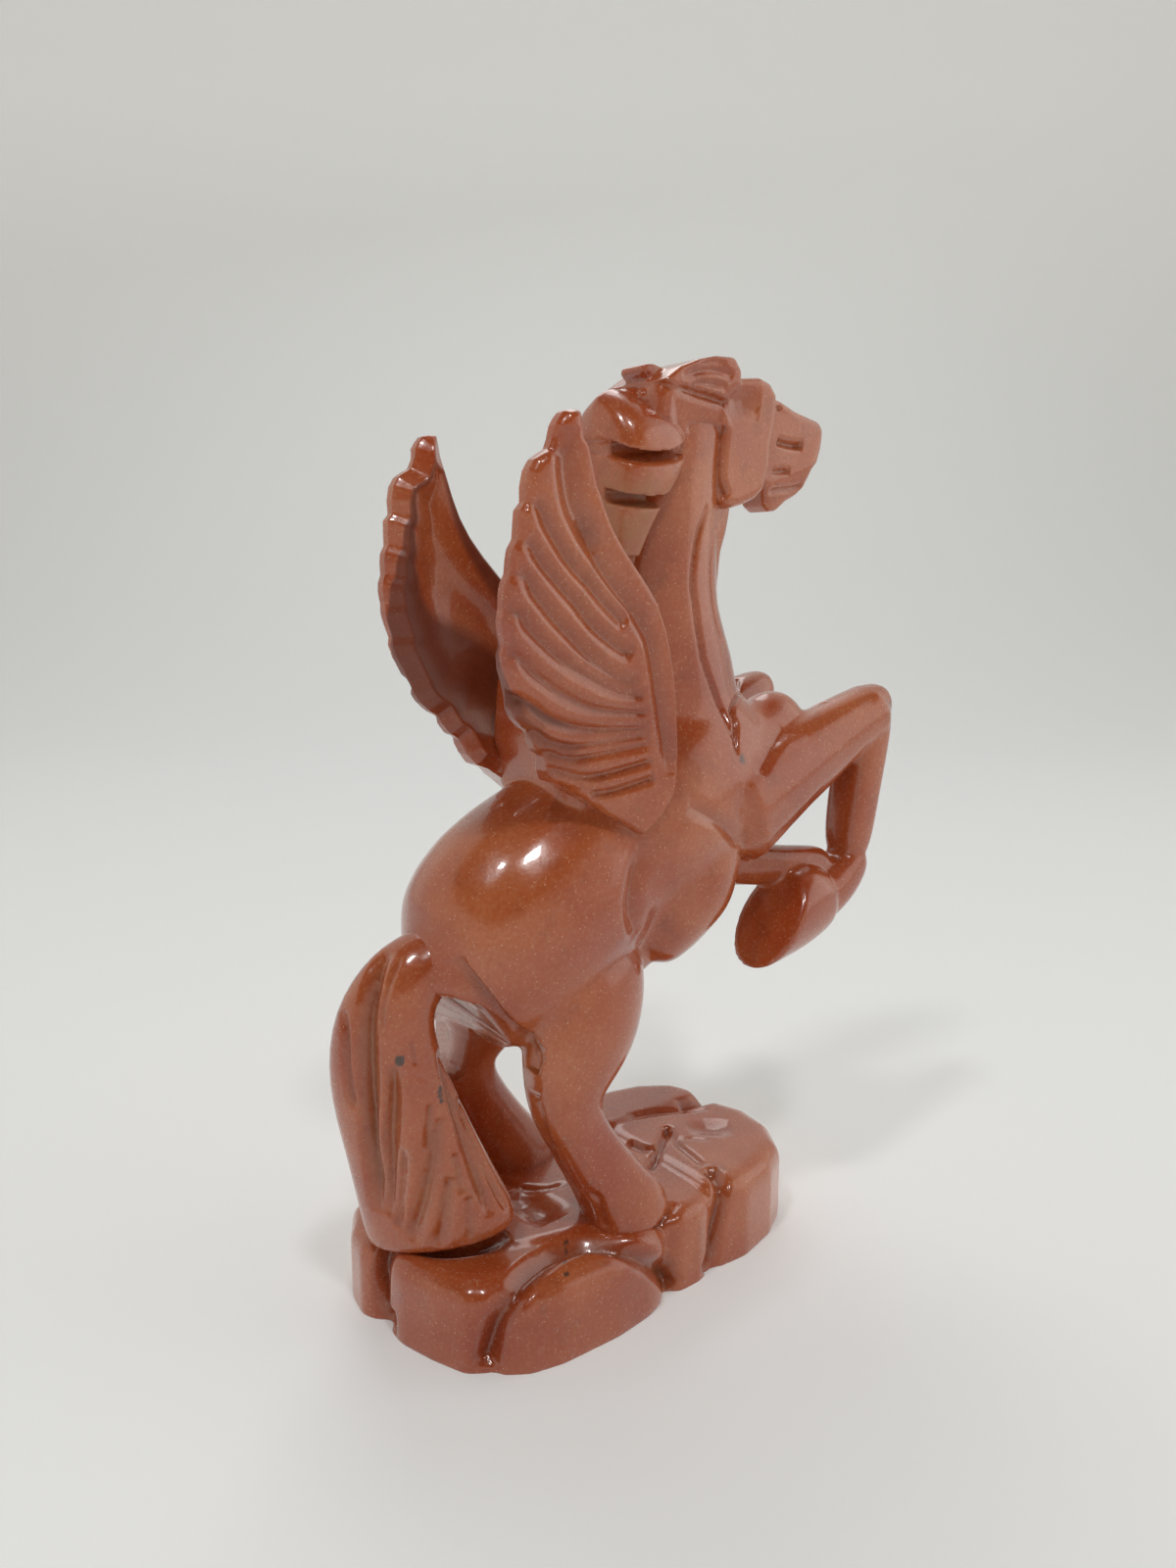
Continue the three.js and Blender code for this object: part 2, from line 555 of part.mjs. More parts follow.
const baseCut = rockBase(gap);
const barrelCut = barrel(gap);
const rumpCut = hindquarters(gap);
const neckCut = neck(gap);
const headCut = head(gap);
const forelockCut = forelock(gap);
const wingCuts = [right, left].map((side) => wing(side, { grow: gap, steps: 2, beyond: barrelWidth / 2 }));

carving.add(solidMesh("rock_base", rockBase(), 0x9a4a2e));
carving.add(solidMesh("barrel", barrel(), polished));
carving.add(solidMesh("hindquarters", cutBy(hindquarters(), [barrelCut, undercut()]), polished));
carving.add(solidMesh("neck", cutBy(neck(), [barrelCut]), polished));
carving.add(solidMesh("head", cutBy(head(), [neckCut]), polished));
carving.add(solidMesh("forelock", cutBy(forelock(), [neckCut, headCut]), polished));
maneLocks.forEach((_, number) => {
  const folded = cutBy(maneLock(number), [neckCut, headCut, forelockCut]);
  carving.add(solidMesh(`mane_lock_${number + 1}`, folded, weathered));
});
carving.add(solidMesh("right_wing", cutBy(wing(right), [barrelCut, rumpCut, neckCut]), polished));
carving.add(solidMesh("left_wing", cutBy(wing(left), [barrelCut, rumpCut, neckCut]), polished));
carving.add(solidMesh("wing_saddle", cutBy(wingSaddle(), [barrelCut, rumpCut, neckCut, ...wingCuts]), weathered));
carving.add(solidMesh("tail", cutBy(tail(), [rumpCut, hemLevel(), rockBase(tailHover)]), polished));
carving.add(solidMesh("right_hind_leg", cutBy(hindLeg(right, 0), [rumpCut, barrelCut, baseCut]), polished));
carving.add(solidMesh("left_hind_leg", cutBy(hindLeg(left, -strideBack), [rumpCut, barrelCut, baseCut]), polished));
for (const [name, side] of [["right", right], ["left", left]]) {
  const arm = cutBy(forearm(side), [barrelCut]);
  const armCut = forearm(side, gap);
  const shankCut = foreShank(side, gap);
  carving.add(solidMesh(`${name}_forearm`, arm, polished));
  carving.add(solidMesh(`${name}_fore_shank`, cutBy(foreShank(side), [armCut]), polished));
  carving.add(solidMesh(`${name}_fore_hoof`, cutBy(foreHoof(side), [armCut, shankCut, barrelCut]), polished));
}

export default carving;
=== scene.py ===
import bpy
import bmesh
import math
import numpy
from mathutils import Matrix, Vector


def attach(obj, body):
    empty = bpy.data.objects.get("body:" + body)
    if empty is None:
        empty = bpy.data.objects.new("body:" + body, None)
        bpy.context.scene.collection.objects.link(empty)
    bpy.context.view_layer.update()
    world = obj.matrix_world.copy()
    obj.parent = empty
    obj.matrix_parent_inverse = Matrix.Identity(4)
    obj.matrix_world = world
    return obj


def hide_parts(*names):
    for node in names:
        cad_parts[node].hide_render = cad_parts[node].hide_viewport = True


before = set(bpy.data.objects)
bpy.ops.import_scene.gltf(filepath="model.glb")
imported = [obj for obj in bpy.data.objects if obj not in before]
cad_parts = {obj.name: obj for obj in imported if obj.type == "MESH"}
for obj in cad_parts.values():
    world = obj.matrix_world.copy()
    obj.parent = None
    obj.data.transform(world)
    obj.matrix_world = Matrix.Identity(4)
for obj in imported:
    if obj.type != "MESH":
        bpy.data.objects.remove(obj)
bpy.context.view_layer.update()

mm = 0.001

# how fine the carved stone is worked, in millimetres
fineness = {"body": 0.5, "head": 0.34, "mane": 0.36, "wing": 0.34, "tail": 0.42, "rock": 0.6}


# hand tools

def pickOnly(*things):
    bpy.ops.object.select_all(action="DESELECT")
    for thing in things:
        thing.select_set(True)
    bpy.context.view_layer.objects.active = things[0]


def editMode(thing):
    pickOnly(thing)
    bpy.ops.object.mode_set(mode="EDIT")
    bpy.ops.mesh.select_mode(type="VERT")
    bpy.ops.mesh.select_all(action="DESELECT")


def objectMode():
    bpy.ops.object.mode_set(mode="OBJECT")


def pickPoints(thing, wanted):
    # selects the points for which wanted(point) is true, and the edges and faces between them
    mesh = bmesh.from_edit_mesh(thing.data)
    mesh.verts.index_update()
    for part in [*mesh.edges, *mesh.faces]:
        part.select = False
    for point in mesh.verts:
        point.select = bool(wanted(point))
    mesh.select_flush(True)
    bmesh.update_edit_mesh(thing.data)


def faceOutward(thing):
    editMode(thing)
    bpy.ops.mesh.select_all(action="SELECT")
    bpy.ops.mesh.normals_make_consistent(inside=False)
    objectMode()


def applied(thing, name, kind, **settings):
    pickOnly(thing)
    modifier = thing.modifiers.new(name, kind)
    for setting, value in settings.items():
        setattr(modifier, setting, value)
    bpy.ops.object.modifier_apply(modifier=name)
    return thing


def settle():
    # works the place, turn and size of what is picked into its mesh
    bpy.ops.object.transform_apply(location=True, rotation=True, scale=True)


def moved(forms, travel):
    pickOnly(*forms)
    bpy.ops.transform.translate(value=[part * mm for part in travel])
    settle()


def copied(name, *nodes, swell):
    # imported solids, copied and swollen a little so that the hairlines between them close
    twins = []
    for node in nodes:
        twin = bpy.data.objects.new(node + "Copy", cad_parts[node].data.copy())
        bpy.context.collection.objects.link(twin)
        twins.append(twin)
    pickOnly(*twins)
    if len(twins) > 1:
        bpy.ops.object.join()
    form = bpy.context.object
    form.name = name
    editMode(form)
    bpy.ops.mesh.select_all(action="SELECT")
    bpy.ops.mesh.remove_doubles(threshold=0.01 * mm)
    objectMode()
    return applied(form, "swell", "DISPLACE", strength=swell * mm, mid_level=0)


def loft(name, rings, sides=16, across=(0, 1, 0)):
    # rings of (place, wide, deep, squareness, facing) in millimetres, from one end of the form to the other;
    # facing is the way that the ring looks in the side view, in degrees up from forwards,
    # where the path doesn't give it
    places = [Vector(ring[0]) * mm for ring in rings]
    # rounding draws the rings in, so they are drawn that much wider
    spread = 0.5 * 3 / (2 + math.cos(2 * math.pi / sides))
    bpy.ops.object.add(type="MESH")
    form = bpy.context.object
    form.name = name
    editMode(form)
    for ring in rings:
        bpy.ops.mesh.primitive_circle_add(vertices=sides, radius=0.5 * mm, location=Vector(ring[0]) * mm)
    mesh = bmesh.from_edit_mesh(form.data)
    mesh.verts.ensure_lookup_table()
    for index, (place, wide, deep, *square) in enumerate(rings):
        ahead = places[min(index + 1, len(rings) - 1)] - places[max(index - 1, 0)]
        if len(square) > 1:
            ahead = Vector((math.cos(math.radians(square[1])), 0, math.sin(math.radians(square[1]))))
        ahead.normalize()
        side = Vector(across)
        side = (side - ahead * side.dot(ahead)).normalized()
        front = ahead.cross(side)
        roundness = 1 - 0.75 * (square[0] if square else 0)
        for step in range(sides):
            angle = 2 * math.pi * step / sides
            a, b = math.cos(angle), math.sin(angle)
            a = math.copysign(abs(a) ** roundness, a) * wide * spread * mm
            b = math.copysign(abs(b) ** roundness, b) * deep * spread * mm
            mesh.verts[index * sides + step].co = places[index] + side * a + front * b
    bmesh.update_edit_mesh(form.data)
    for index in range(len(rings) - 1):
        pickPoints(form, lambda point: index * sides <= point.index < (index + 2) * sides)
        bpy.ops.mesh.bridge_edge_loops()
    for index in (0, len(rings) - 1):
        pickPoints(form, lambda point: index * sides <= point.index < (index + 1) * sides)
        bpy.ops.mesh.edge_face_add()
    objectMode()
    faceOutward(form)
    return applied(form, "round", "SUBSURF", levels=2, render_levels=2)


def lobe(name, place, size):
    # a rounded muscle
    bpy.ops.mesh.primitive_uv_sphere_add(segments=32, ring_count=16, radius=0.5)
    form = bpy.context.object
    form.name = name
    bpy.ops.transform.resize(value=[part * mm for part in size])
    settle()
    moved([form], place)
    return applied(form, "round", "SUBSURF", levels=1, render_levels=1)


def slab(name, outline, low, high, edge=2.5, axis="y", steps=3):
    # a cut slab: an outline in the side view (or from above), thickened, with its rims beveled
    bpy.ops.mesh.primitive_circle_add(vertices=len(outline), radius=mm)
    form = bpy.context.object
    form.name = name
    editMode(form)
    mesh = bmesh.from_edit_mesh(form.data)
    mesh.verts.ensure_lookup_table()
    for point, (a, b) in zip(mesh.verts, outline):
        point.co = Vector((a, low, b) if axis == "y" else (a, b, low)) * mm
    bmesh.update_edit_mesh(form.data)
    bpy.ops.mesh.select_all(action="SELECT")
    bpy.ops.mesh.edge_face_add()
    travel = (0, (high - low) * mm, 0) if axis == "y" else (0, 0, (high - low) * mm)
    bpy.ops.mesh.extrude_region_move(TRANSFORM_OT_translate={"value": travel})
    objectMode()
    faceOutward(form)
    if edge:
        applied(form, "rims", "BEVEL", width=edge * mm, segments=steps, limit_method="ANGLE",
                angle_limit=math.radians(50))
    return form


def soften(stone, times):
    return applied(stone, "soften", "SMOOTH", factor=0.5, iterations=times)


def fused(name, forms, size, smoothing):
    # joins overlapping forms into one stone surface
    pickOnly(*forms)
    if len(forms) > 1:
        bpy.ops.object.join()
    stone = bpy.context.object
    stone.name = name
    applied(stone, "fuse", "REMESH", mode="VOXEL", voxel_size=size * mm, adaptivity=0)
    return soften(stone, smoothing)


def cutAway(stone, cutters):
    for cutter in cutters:
        applied(stone, "cut", "BOOLEAN", operation="DIFFERENCE", object=cutter, solver="EXACT")
        bpy.data.objects.remove(cutter)
    return stone


def mirrored(form, name):
    pickOnly(form)
    bpy.ops.object.duplicate(linked=False)
    twin = bpy.context.object
    twin.name = name
    bpy.ops.transform.resize(value=(1, -1, 1), center_override=(0, 0, 0))
    settle()
    faceOutward(twin)
    return twin


# camera and what it sees

studio = {"eye": (-152, -197, 152), "tilt": 80, "pan": -38, "lens": 27, "sensor": 36}
picture = {"wide": 1200, "high": 1600}

eye = Vector(studio["eye"]) * mm
bpy.ops.object.camera_add(location=eye, rotation=(math.radians(studio["tilt"]), 0,
                                                  math.radians(studio["pan"])))
camera = bpy.context.object
camera.data.lens = studio["lens"]
camera.data.sensor_width = studio["sensor"]
camera.data.clip_start = 0.01
camera.data.clip_end = 20
bpy.context.scene.camera = camera
facing = camera.rotation_euler.to_matrix()
print("camera set")


def sightline(u, v):
    # the way from the eye to a point of its picture
    far = picture["high"] * studio["lens"] / studio["sensor"]
    return (facing @ Vector(((u - picture["wide"] / 2) / far, (picture["high"] / 2 - v) / far,
                             -1))).normalized()


def seen(stone, points):
    # the places on the stone that show at those points of the picture, with the stone's normals there
    line = []
    for u, v in points:
        hit, place, normal, face = stone.ray_cast(eye, sightline(u, v))
        if hit:
            line.append((place / mm, normal.copy()))
    return line


def touching(stone, places):
    # the places on the stone nearest to the given ones, in millimetres
    line = []
    for place in places:
        hit, near, normal, face = stone.closest_point_on_mesh(Vector(place) * mm)
        line.append((near / mm, normal.copy()))
    return line


def otherSide(stone, line):
    return touching(stone, [(place.x, -place.y, place.z) for place, normal in line])


# carving tools: strokes along a line, worked into the stone's points

strokeStep = 0.35  # between the points of a stroke, in millimetres
pathEvened, facingEvened = 3, 12  # so many steps on either side of each point
usualEnds = 0.15  # share of a stroke over which it fades at each end


def evened(values, reach):
    # running mean along a line, its ends kept
    reach = min(reach, (len(values) - 1) // 2)
    padded = numpy.vstack([values[:1]] * reach + [values] + [values[-1:]] * reach)
    return numpy.stack([numpy.convolve(padded[:, k], numpy.ones(2 * reach + 1) / (2 * reach + 1), "valid")
                        for k in range(3)], axis=1)


def smoothLine(line):
    spots = numpy.array([list(place) for place, normal in line])
    turns = numpy.array([list(normal) for place, normal in line])
    spots = numpy.vstack([2 * spots[0] - spots[1], spots, 2 * spots[-1] - spots[-2]])
    turns = numpy.vstack([turns[0], turns, turns[-1]])
    path, outward = [], []
    for index in range(1, len(spots) - 2):
        p0, p1, p2, p3 = spots[index - 1:index + 3]
        for t in numpy.linspace(0, 1, max(2, int(numpy.linalg.norm(p2 - p1) / strokeStep)),
                                endpoint=False):
            path.append(0.5 * (2 * p1 + (p2 - p0) * t + (2 * p0 - 5 * p1 + 4 * p2 - p3) * t * t
                               + (3 * p1 - p0 - 3 * p2 + p3) * t ** 3))
            outward.append(turns[index] * (1 - t) + turns[index + 1] * t)
    path, outward = evened(numpy.array(path), pathEvened), evened(numpy.array(outward), facingEvened)
    outward /= numpy.linalg.norm(outward, axis=1)[:, None]
    return path, outward


def oneSided(spread):
    # deepest beside the line, with a soft start
    return -(1 - spread) ** 1.5 * numpy.clip(spread / 0.18, 0, 1)


cutShapes = {  # depth by the distance from the line, 1 at the rim of the cut, and by the side of it
    "groove": lambda spread, side: -(1 - spread) ** 1.4,
    "hollow": lambda spread, side: -0.5 - 0.5 * numpy.cos(math.pi * spread),
    "swell": lambda spread, side: 0.5 + 0.5 * numpy.cos(math.pi * spread),
    "cutRight": lambda spread, side: oneSided(spread) * (side > 0),
    "cutLeft": lambda spread, side: oneSided(spread) * (side < 0),
}


def carve(stone, line, kind, width, depth, ends=usualEnds):
    # right and left are those of a hand that follows the line over the stone
    if len(line) < 2:
        return
    path, outward = smoothLine(line)
    count = len(stone.data.vertices)
    places, normals = numpy.empty(count * 3), numpy.empty(count * 3)
    stone.data.vertices.foreach_get("co", places)
    stone.data.vertex_normals.foreach_get("vector", normals)
    places, normals = places.reshape(-1, 3) / mm, normals.reshape(-1, 3)
    margin = width + depth
    near = numpy.nonzero(((places > path.min(0) - margin) & (places < path.max(0) + margin)).all(1))[0]
    spots = places[near]
    apart = (spots ** 2).sum(1)[:, None] - 2 * spots @ path.T + (path ** 2).sum(1)[None]
    nearest = apart.argmin(1)
    out = outward[nearest]
    away = spots - path[nearest]
    lift = (away * out).sum(1)
    flat = away - out * lift[:, None]
    spread = numpy.clip(numpy.linalg.norm(flat, axis=1) / width, 0, 1)
    ahead = numpy.gradient(path, axis=0)
    side = (numpy.cross(ahead[nearest], out) * flat).sum(1)
    share = nearest / max(1, len(path) - 1)
    fade = numpy.clip(numpy.minimum(share, 1 - share) / ends, 0, 1) ** 0.6
    touched = (spread < 1) & ((normals[near] * out).sum(1) > 0.05) & (numpy.abs(lift) < margin)
    amount = cutShapes[kind](spread, side) * fade * depth * touched
    places[near] = spots + out * amount[:, None]
    stone.data.vertices.foreach_set("co", (places * mm).ravel())
    marks = stone.data.attributes.get("cut") or stone.data.attributes.new("cut", "FLOAT", "POINT")
    cut = numpy.empty(count)
    marks.data.foreach_get("value", cut)
    cut[near] += numpy.clip(-amount, 0, 3)
    marks.data.foreach_set("value", cut)
    stone.data.update()
    bpy.context.view_layer.update()


def work(stone, strokes, bothSides=False):
    # strokes of (kind, width, depth, points of the picture, ends), each also on the stone's far side if wanted
    for kind, width, depth, points, *ends in strokes:
        line = seen(stone, points)
        carve(stone, line, kind, width, depth, *ends)
        if bothSides:
            turned = {"cutRight": "cutLeft", "cutLeft": "cutRight"}.get(kind, kind)
            carve(stone, otherSide(stone, line), turned, width, depth, *ends)


def stain(stone, spots):
    # dark specks of the stone, each (point of the picture, half its size)
    marks = stone.data.attributes.new("stain", "FLOAT", "POINT")
    for point, reach in spots:
        for place, normal in seen(stone, [point]):
            for index, corner in enumerate(stone.data.vertices):
                if (corner.co / mm - place).length < reach:
                    marks.data[index].value = 1


# body: trunk, neck, hind legs and folded forelegs, one stone

hindLeg = [((-11, -10, 78), 20, 34), ((-9.5, -12.5, 66), 21, 32), ((-11.5, -14.5, 59), 20, 26.5),
           ((-16, -15.5, 51.5), 15.5, 19.5, 0.2), ((-16.8, -16, 45.5), 12.5, 14.5, 0.4),
           ((-15, -16.3, 40.5), 11.5, 12.5, 0.5), ((-11.3, -16.6, 34), 11.5, 12.8, 0.5),
           ((-7.6, -17, 28), 12.5, 14, 0.5), ((-4.5, -17.2, 23), 14, 15.5, 0.4),
           ((-1.8, -17.4, 18.8), 16.5, 19.5, 0.2), ((-1.2, -17.4, 14), 17.5, 21.5, 0.2)]
foreLeg = {
    "arm": [((30, -12, 99), 18, 26), ((46.5, -14, 107.6), 18, 23), ((61, -15, 114), 14.3, 17, 0.2),
            ((72, -15.6, 119.5), 12.5, 13, 0.3), ((78.5, -15.8, 122.8), 9.5, 9, 0.3),
            ((80.8, -15.9, 123.8), 5.5, 5.5)],
    "cannon": [((77, -15.8, 124.6), 8.5, 6), ((75.8, -15.8, 119.5), 11.2, 10, 0.5),
               ((72, -15.6, 104), 11.2, 10, 0.6), ((70, -15.5, 90), 11, 9.4, 0.5),
               ((69.4, -15.5, 84), 9, 7, 0.3)],
    "pastern": [((73, -15.6, 87), 9, 7, 0.3, 215), ((69, -15.6, 82.6), 10.8, 9.5, 0.4, 215),
                ((64.5, -15.6, 79.3), 12, 11.4, 0.3, 203), ((60, -15.6, 77), 12.8, 12.4, 0.2, 190),
                ((58, -15.6, 76.5), 12.6, 12.2, 0, 186)],
    "hoof": [((60.2, -15.6, 77), 13.6, 13.2, 0, 190), ((57.5, -15.7, 76.6), 15.4, 16.5, 0.1, 184),
             ((51, -15.9, 75.6), 17.2, 21, 0.1, 168), ((44.4, -16, 74.3), 18.3, 24, 0.1, 150),
             ((42.2, -16, 73.8), 18.5, 24.6, 0.1, 148), ((41.8, -16, 73.9), 17.6, 23.6, 0.1, 148)],
}
throat = [(22, 174), (37, 174), (39, 170), (39, 166), (38, 161.5), (36.4, 157), (35.6, 149.4),
          (36.2, 142.8), (38.6, 136), (42, 130), (40, 124), (32, 122), (22, 140)]
undercut = [(-62, 71.5), (-38.5, 71.5), (-35, 70), (-30, 65), (-25.5, 58.5), (-24, 53), (-24.5, 44),
            (-62, 44)]

saddle = [(-8, 96), (-13, 108), (-14.5, 118), (-13.5, 130), (-9.5, 139.5), (-1, 139), (6, 126), (8, 104)]
tailRoot = [((-18, 0, 77), 16, 15), ((-26, 0, 78), 15, 14.5), ((-33, 0, 78), 13.5, 13),
            ((-38, 0, 77), 12, 12)]
bridge = [((30, -6, 88), 12, 12), ((39, -8, 86.5), 10.5, 10.5), ((48, -11, 85), 10, 9.5),
          ((57, -13, 84.5), 9, 9), ((64, -14.5, 84), 9, 8)]

bodyShape = {
    "trunkSwell": 0.6, "trunkFineness": 0.8, "trunkSmoothing": 45,  # the trunk is evened before the limbs join it
    "armSwell": 0.4, "smoothing": 20,
    "strideBack": (-5, 0, 0),  # the left hind leg stands further back
    "tuck": (-7.5, 0, 1.5),  # the left foreleg is folded closer to the chest
    "throatHalf": 6.5, "throatEdge": 4.5, "saddleHalf": 14, "saddleEdge": 3, "undercutHalf": 30,
    "undercutEdge": 2,
    "rump": ((-19, 0, 86), (35, 40.5, 38.5)),  # place and size of the muscle
    "groin": ((6, -8, 75), (16, 14, 18)),
    "triangles": 190000,  # the finished stone has no more
}
trunkForm = copied("trunkForm", "barrel", "hindquarters", "neck", swell=bodyShape["trunkSwell"])
trunk = fused("trunk", [trunkForm], bodyShape["trunkFineness"], smoothing=bodyShape["trunkSmoothing"])
bodyForms = [trunk, copied("rightArm", "right_forearm", swell=bodyShape["armSwell"])]
rightHind = loft("hind", hindLeg, sides=14)
leftHind = mirrored(rightHind, "leftHind")
moved([leftHind], bodyShape["strideBack"])
rightFore = [loft(name, rings, sides=14) for name, rings in foreLeg.items()]
leftFore = [mirrored(form, "left" + form.name) for form in rightFore]
moved(leftFore, bodyShape["tuck"])
bodyForms += [rightHind, leftHind, *rightFore, *leftFore]
bodyForms.append(slab("throat", throat, -bodyShape["throatHalf"], bodyShape["throatHalf"],
                      edge=bodyShape["throatEdge"]))
bodyForms.append(lobe("rump", *bodyShape["rump"]))
bodyForms.append(slab("saddle", saddle, -bodyShape["saddleHalf"], bodyShape["saddleHalf"],
                      edge=bodyShape["saddleEdge"]))
groin = lobe("groin", *bodyShape["groin"])
bodyForms += [groin, mirrored(groin, "leftGroin")]
bodyForms += [loft("tailRoot", tailRoot), loft("bridge", bridge, sides=12)]
body = fused("carvedBody", bodyForms, fineness["body"], smoothing=bodyShape["smoothing"])
cutAway(body, [slab("hollow", undercut, -bodyShape["undercutHalf"], bodyShape["undercutHalf"],
                    edge=bodyShape["undercutEdge"])])

# creases and one-sided cuts of the trunk, the same on both sides
trunkStrokes = [
    ("groove", 4, 1.5, [(657, 858), (653, 878), (648, 900), (646, 920), (648, 940), (650, 955)], 0.3),
    ("groove", 3, 1.4, [(700, 821), (716, 828), (732, 837), (744, 847), (751, 857), (752, 868)], 0.3),
    ("groove", 1.2, 1.2, [(722, 515), (717, 532), (712, 550), (709, 570), (707, 595), (710, 620),
                          (714, 650), (719, 677), (727, 700), (737, 725), (745, 745), (750, 758)]),
    ("groove", 1.1, 0.7, [(731, 535), (727, 557), (725, 580), (726, 605), (732, 640), (741, 665),
                          (749, 685)]),
    ("groove", 1.1, 1.3, [(752, 692), (751, 715), (751, 740), (751, 760), (754, 775)], 0.06),
    ("groove", 2.5, 0.8, [(800, 742), (790, 760), (779, 778), (773, 792)], 0.3),
    ("cutRight", 6.5, 2.8, [(472, 972), (480, 987), (495, 1006), (512, 1027), (530, 1047), (548, 1061),
                            (562, 1071)], 0.2),
]
work(body, trunkStrokes, bothSides=True)
legStrokes = [
    ("cutRight", 5, 1.8, [(560, 1080), (553, 1088), (549, 1098), (550, 1115), (555, 1135), (560, 1153),
                          (566, 1172), (572, 1190),
                        (578, 1208)], 0.1),
    ("groove", 1.6, 0.8, [(580, 1210), (597, 1214), (611, 1224), (614, 1240), (617, 1256)], 0.2),
]
work(body, legStrokes)
stain(body, [((757, 775), 0.8), ((759, 778), 0.6)])
triangles = sum(face.loop_total - 2 for face in body.data.polygons)
applied(body, "thin", "DECIMATE", ratio=min(1, bodyShape["triangles"] / triangles))
print("body carved:", len(body.data.polygons))


# head with its forelock

headOutlines = {
    "cheek": [(35.3, 194), (42.8, 194.9), (46, 194), (48.2, 191.5), (47.8, 186), (46.6, 180.5),
              (46.2, 175.5), (44.6, 171), (42.2, 169), (38.3, 167.5), (34.7, 166.6), (32.3, 167.4),
              (30.4, 169.7), (29.3, 172.5), (29.3, 176.5), (29.8, 180.5), (30.5, 184), (31, 190)],
    "muzzle": [(44, 193), (53, 191), (58, 189.4), (66.6, 187.8), (68.7, 186.4), (68.1, 182),
               (66.8, 178.3), (65, 176.6), (63.4, 172.6), (61.1, 170.7), (57.8, 169.1), (54.9, 167),
               (52.4, 166.7), (50.5, 168), (49, 171.5), (40, 176)],
    "crest": [(14, 191.6), (15.6, 192.5), (19, 194.8), (23.7, 196.6), (29, 197.8), (34.2, 198),
              (36.2, 195.4), (36.2, 192.3), (34, 190), (32, 189), (25, 190), (17.1, 190.6)],
    "poll": [(14, 192), (24, 193.5), (36, 192.5), (40, 186), (36, 172), (28, 168), (20, 172), (13, 184)],
    "tuft": [(24, 195.4), (19.5, 195), (16.6, 195.7), (13.6, 195.4), (13.2, 193.9), (15.1, 192.4),
             (14.7, 191), (12.6, 189.6), (12.8, 187.6), (14.5, 186.6), (24, 185)],
}
headHalf = {"cheek": 9.6, "muzzle": 6.6, "crest": 10, "poll": 9.3, "tuft": 4}
headEdge = {"cheek": 1.8, "muzzle": 1.6, "crest": 2, "poll": 3, "tuft": 0.9}
headTaper = {"poll": 0.035, "pollFrom": 181, "chin": 0.42, "chinFrom": 177, "chinLength": 9,
             "lips": 0.2, "lipsFrom": 52, "lipsLength": 15}
headForms = [slab(name, outline, -headHalf[name], headHalf[name], edge=headEdge[name])
             for name, outline in headOutlines.items()]
for form in headForms:
    if form.name.startswith("poll"):
        for point in form.data.vertices:  # the poll's lower end narrows and lies under the neck
            point.co.y *= 1 - headTaper["poll"] * max(0, headTaper["pollFrom"] - point.co.z / mm)
    if form.name.startswith("muzzle"):
        for point in form.data.vertices:  # the muzzle narrows to its chin and its lips
            chin = min(1, max(0, (headTaper["chinFrom"] - point.co.z / mm) / headTaper["chinLength"]))
            lips = min(1, max(0, (point.co.x / mm - headTaper["lipsFrom"]) / headTaper["lipsLength"]))
            point.co.y *= 1 - headTaper["chin"] * chin - headTaper["lips"] * lips
head = fused("carvedHead", headForms, fineness["head"], smoothing=6)
headStrokes = [
    ("groove", 2.4, 1.7, [(737, 432), (735, 445), (733, 465), (732, 485), (735, 501), (742, 513),
                          (748, 520)], 0.1),
    ("groove", 1.8, 1, [(696, 386), (710, 380), (726, 377), (742, 380), (750, 387)], 0.25),
    ("groove", 1.6, 0.9, [(703, 394), (716, 391), (731, 392), (745, 396)], 0.25),
    ("groove", 1.2, 0.6, [(713, 372), (728, 369), (744, 371)], 0.3),
    ("groove", 1.8, 1.2, [(690, 395), (705, 400), (722, 405), (738, 410), (747, 409)], 0.2),
    ("hollow", 5, 1.4, [(738, 421), (750, 413), (764, 410), (778, 414)], 0.4),
    ("groove", 1.6, 0.8, [(700, 434), (716, 438), (733, 436)], 0.3),
    ("groove", 1.5, 1.7, [(792, 450), (802, 453), (812, 455), (821, 455)], 0.1),
    ("groove", 1.2, 1.1, [(787, 482), (796, 481), (808, 481)], 0.1),
    ("groove", 1.3, 0.9, [(783, 503), (795, 500), (808, 499), (820, 494), (828, 484)]),
    ("groove", 1, 0.8, [(789, 392), (792, 402), (794, 412), (796, 422)]),
]
work(head, headStrokes, bothSides=True)
print("head carved:", len(head.data.polygons))


# mane: a block down the back of the neck, with three slots sawn into it

maneBlock = [((15, 0, 184), 12, 13), ((14, 0, 181.5), 20, 20, 0.3), ((13.3, 0, 177), 24, 22, 0.5),
             ((9, 0, 170), 24, 15, 0.6), ((6.2, 0, 162.5), 23, 10.8, 0.6),
             ((4.7, 0, 155), 20.5, 7.8, 0.5), ((4.4, 0, 147.5), 16, 6.2, 0.4), ((5.5, 0, 142), 11, 5)]
maneRoot = [((16, 0, 186), 8, 12), ((14, 0, 178), 12, 18), ((12, 0, 165), 12, 16), ((10, 0, 150), 10, 12),
            ((9, 0, 140), 7, 8)]
maneSlots = [  # height of the slot's middle, its width, its reach forward and its depth from behind
    {"level": 175.2, "width": 2.9, "front": 27, "back": 3.2},
    {"level": 166.7, "width": 2.6, "front": 20, "back": 1},
    {"level": 155, "width": 1.8, "front": 14, "back": 2},
]
maneCore, maneReach = 5.5, 20  # half widths of the stone left between the slots, and of the saws
maneClimb = {"from": 155, "rate": 0.18, "least": 1, "most": 5, "half": 12, "bow": 0.013, "bowFrom": 8}


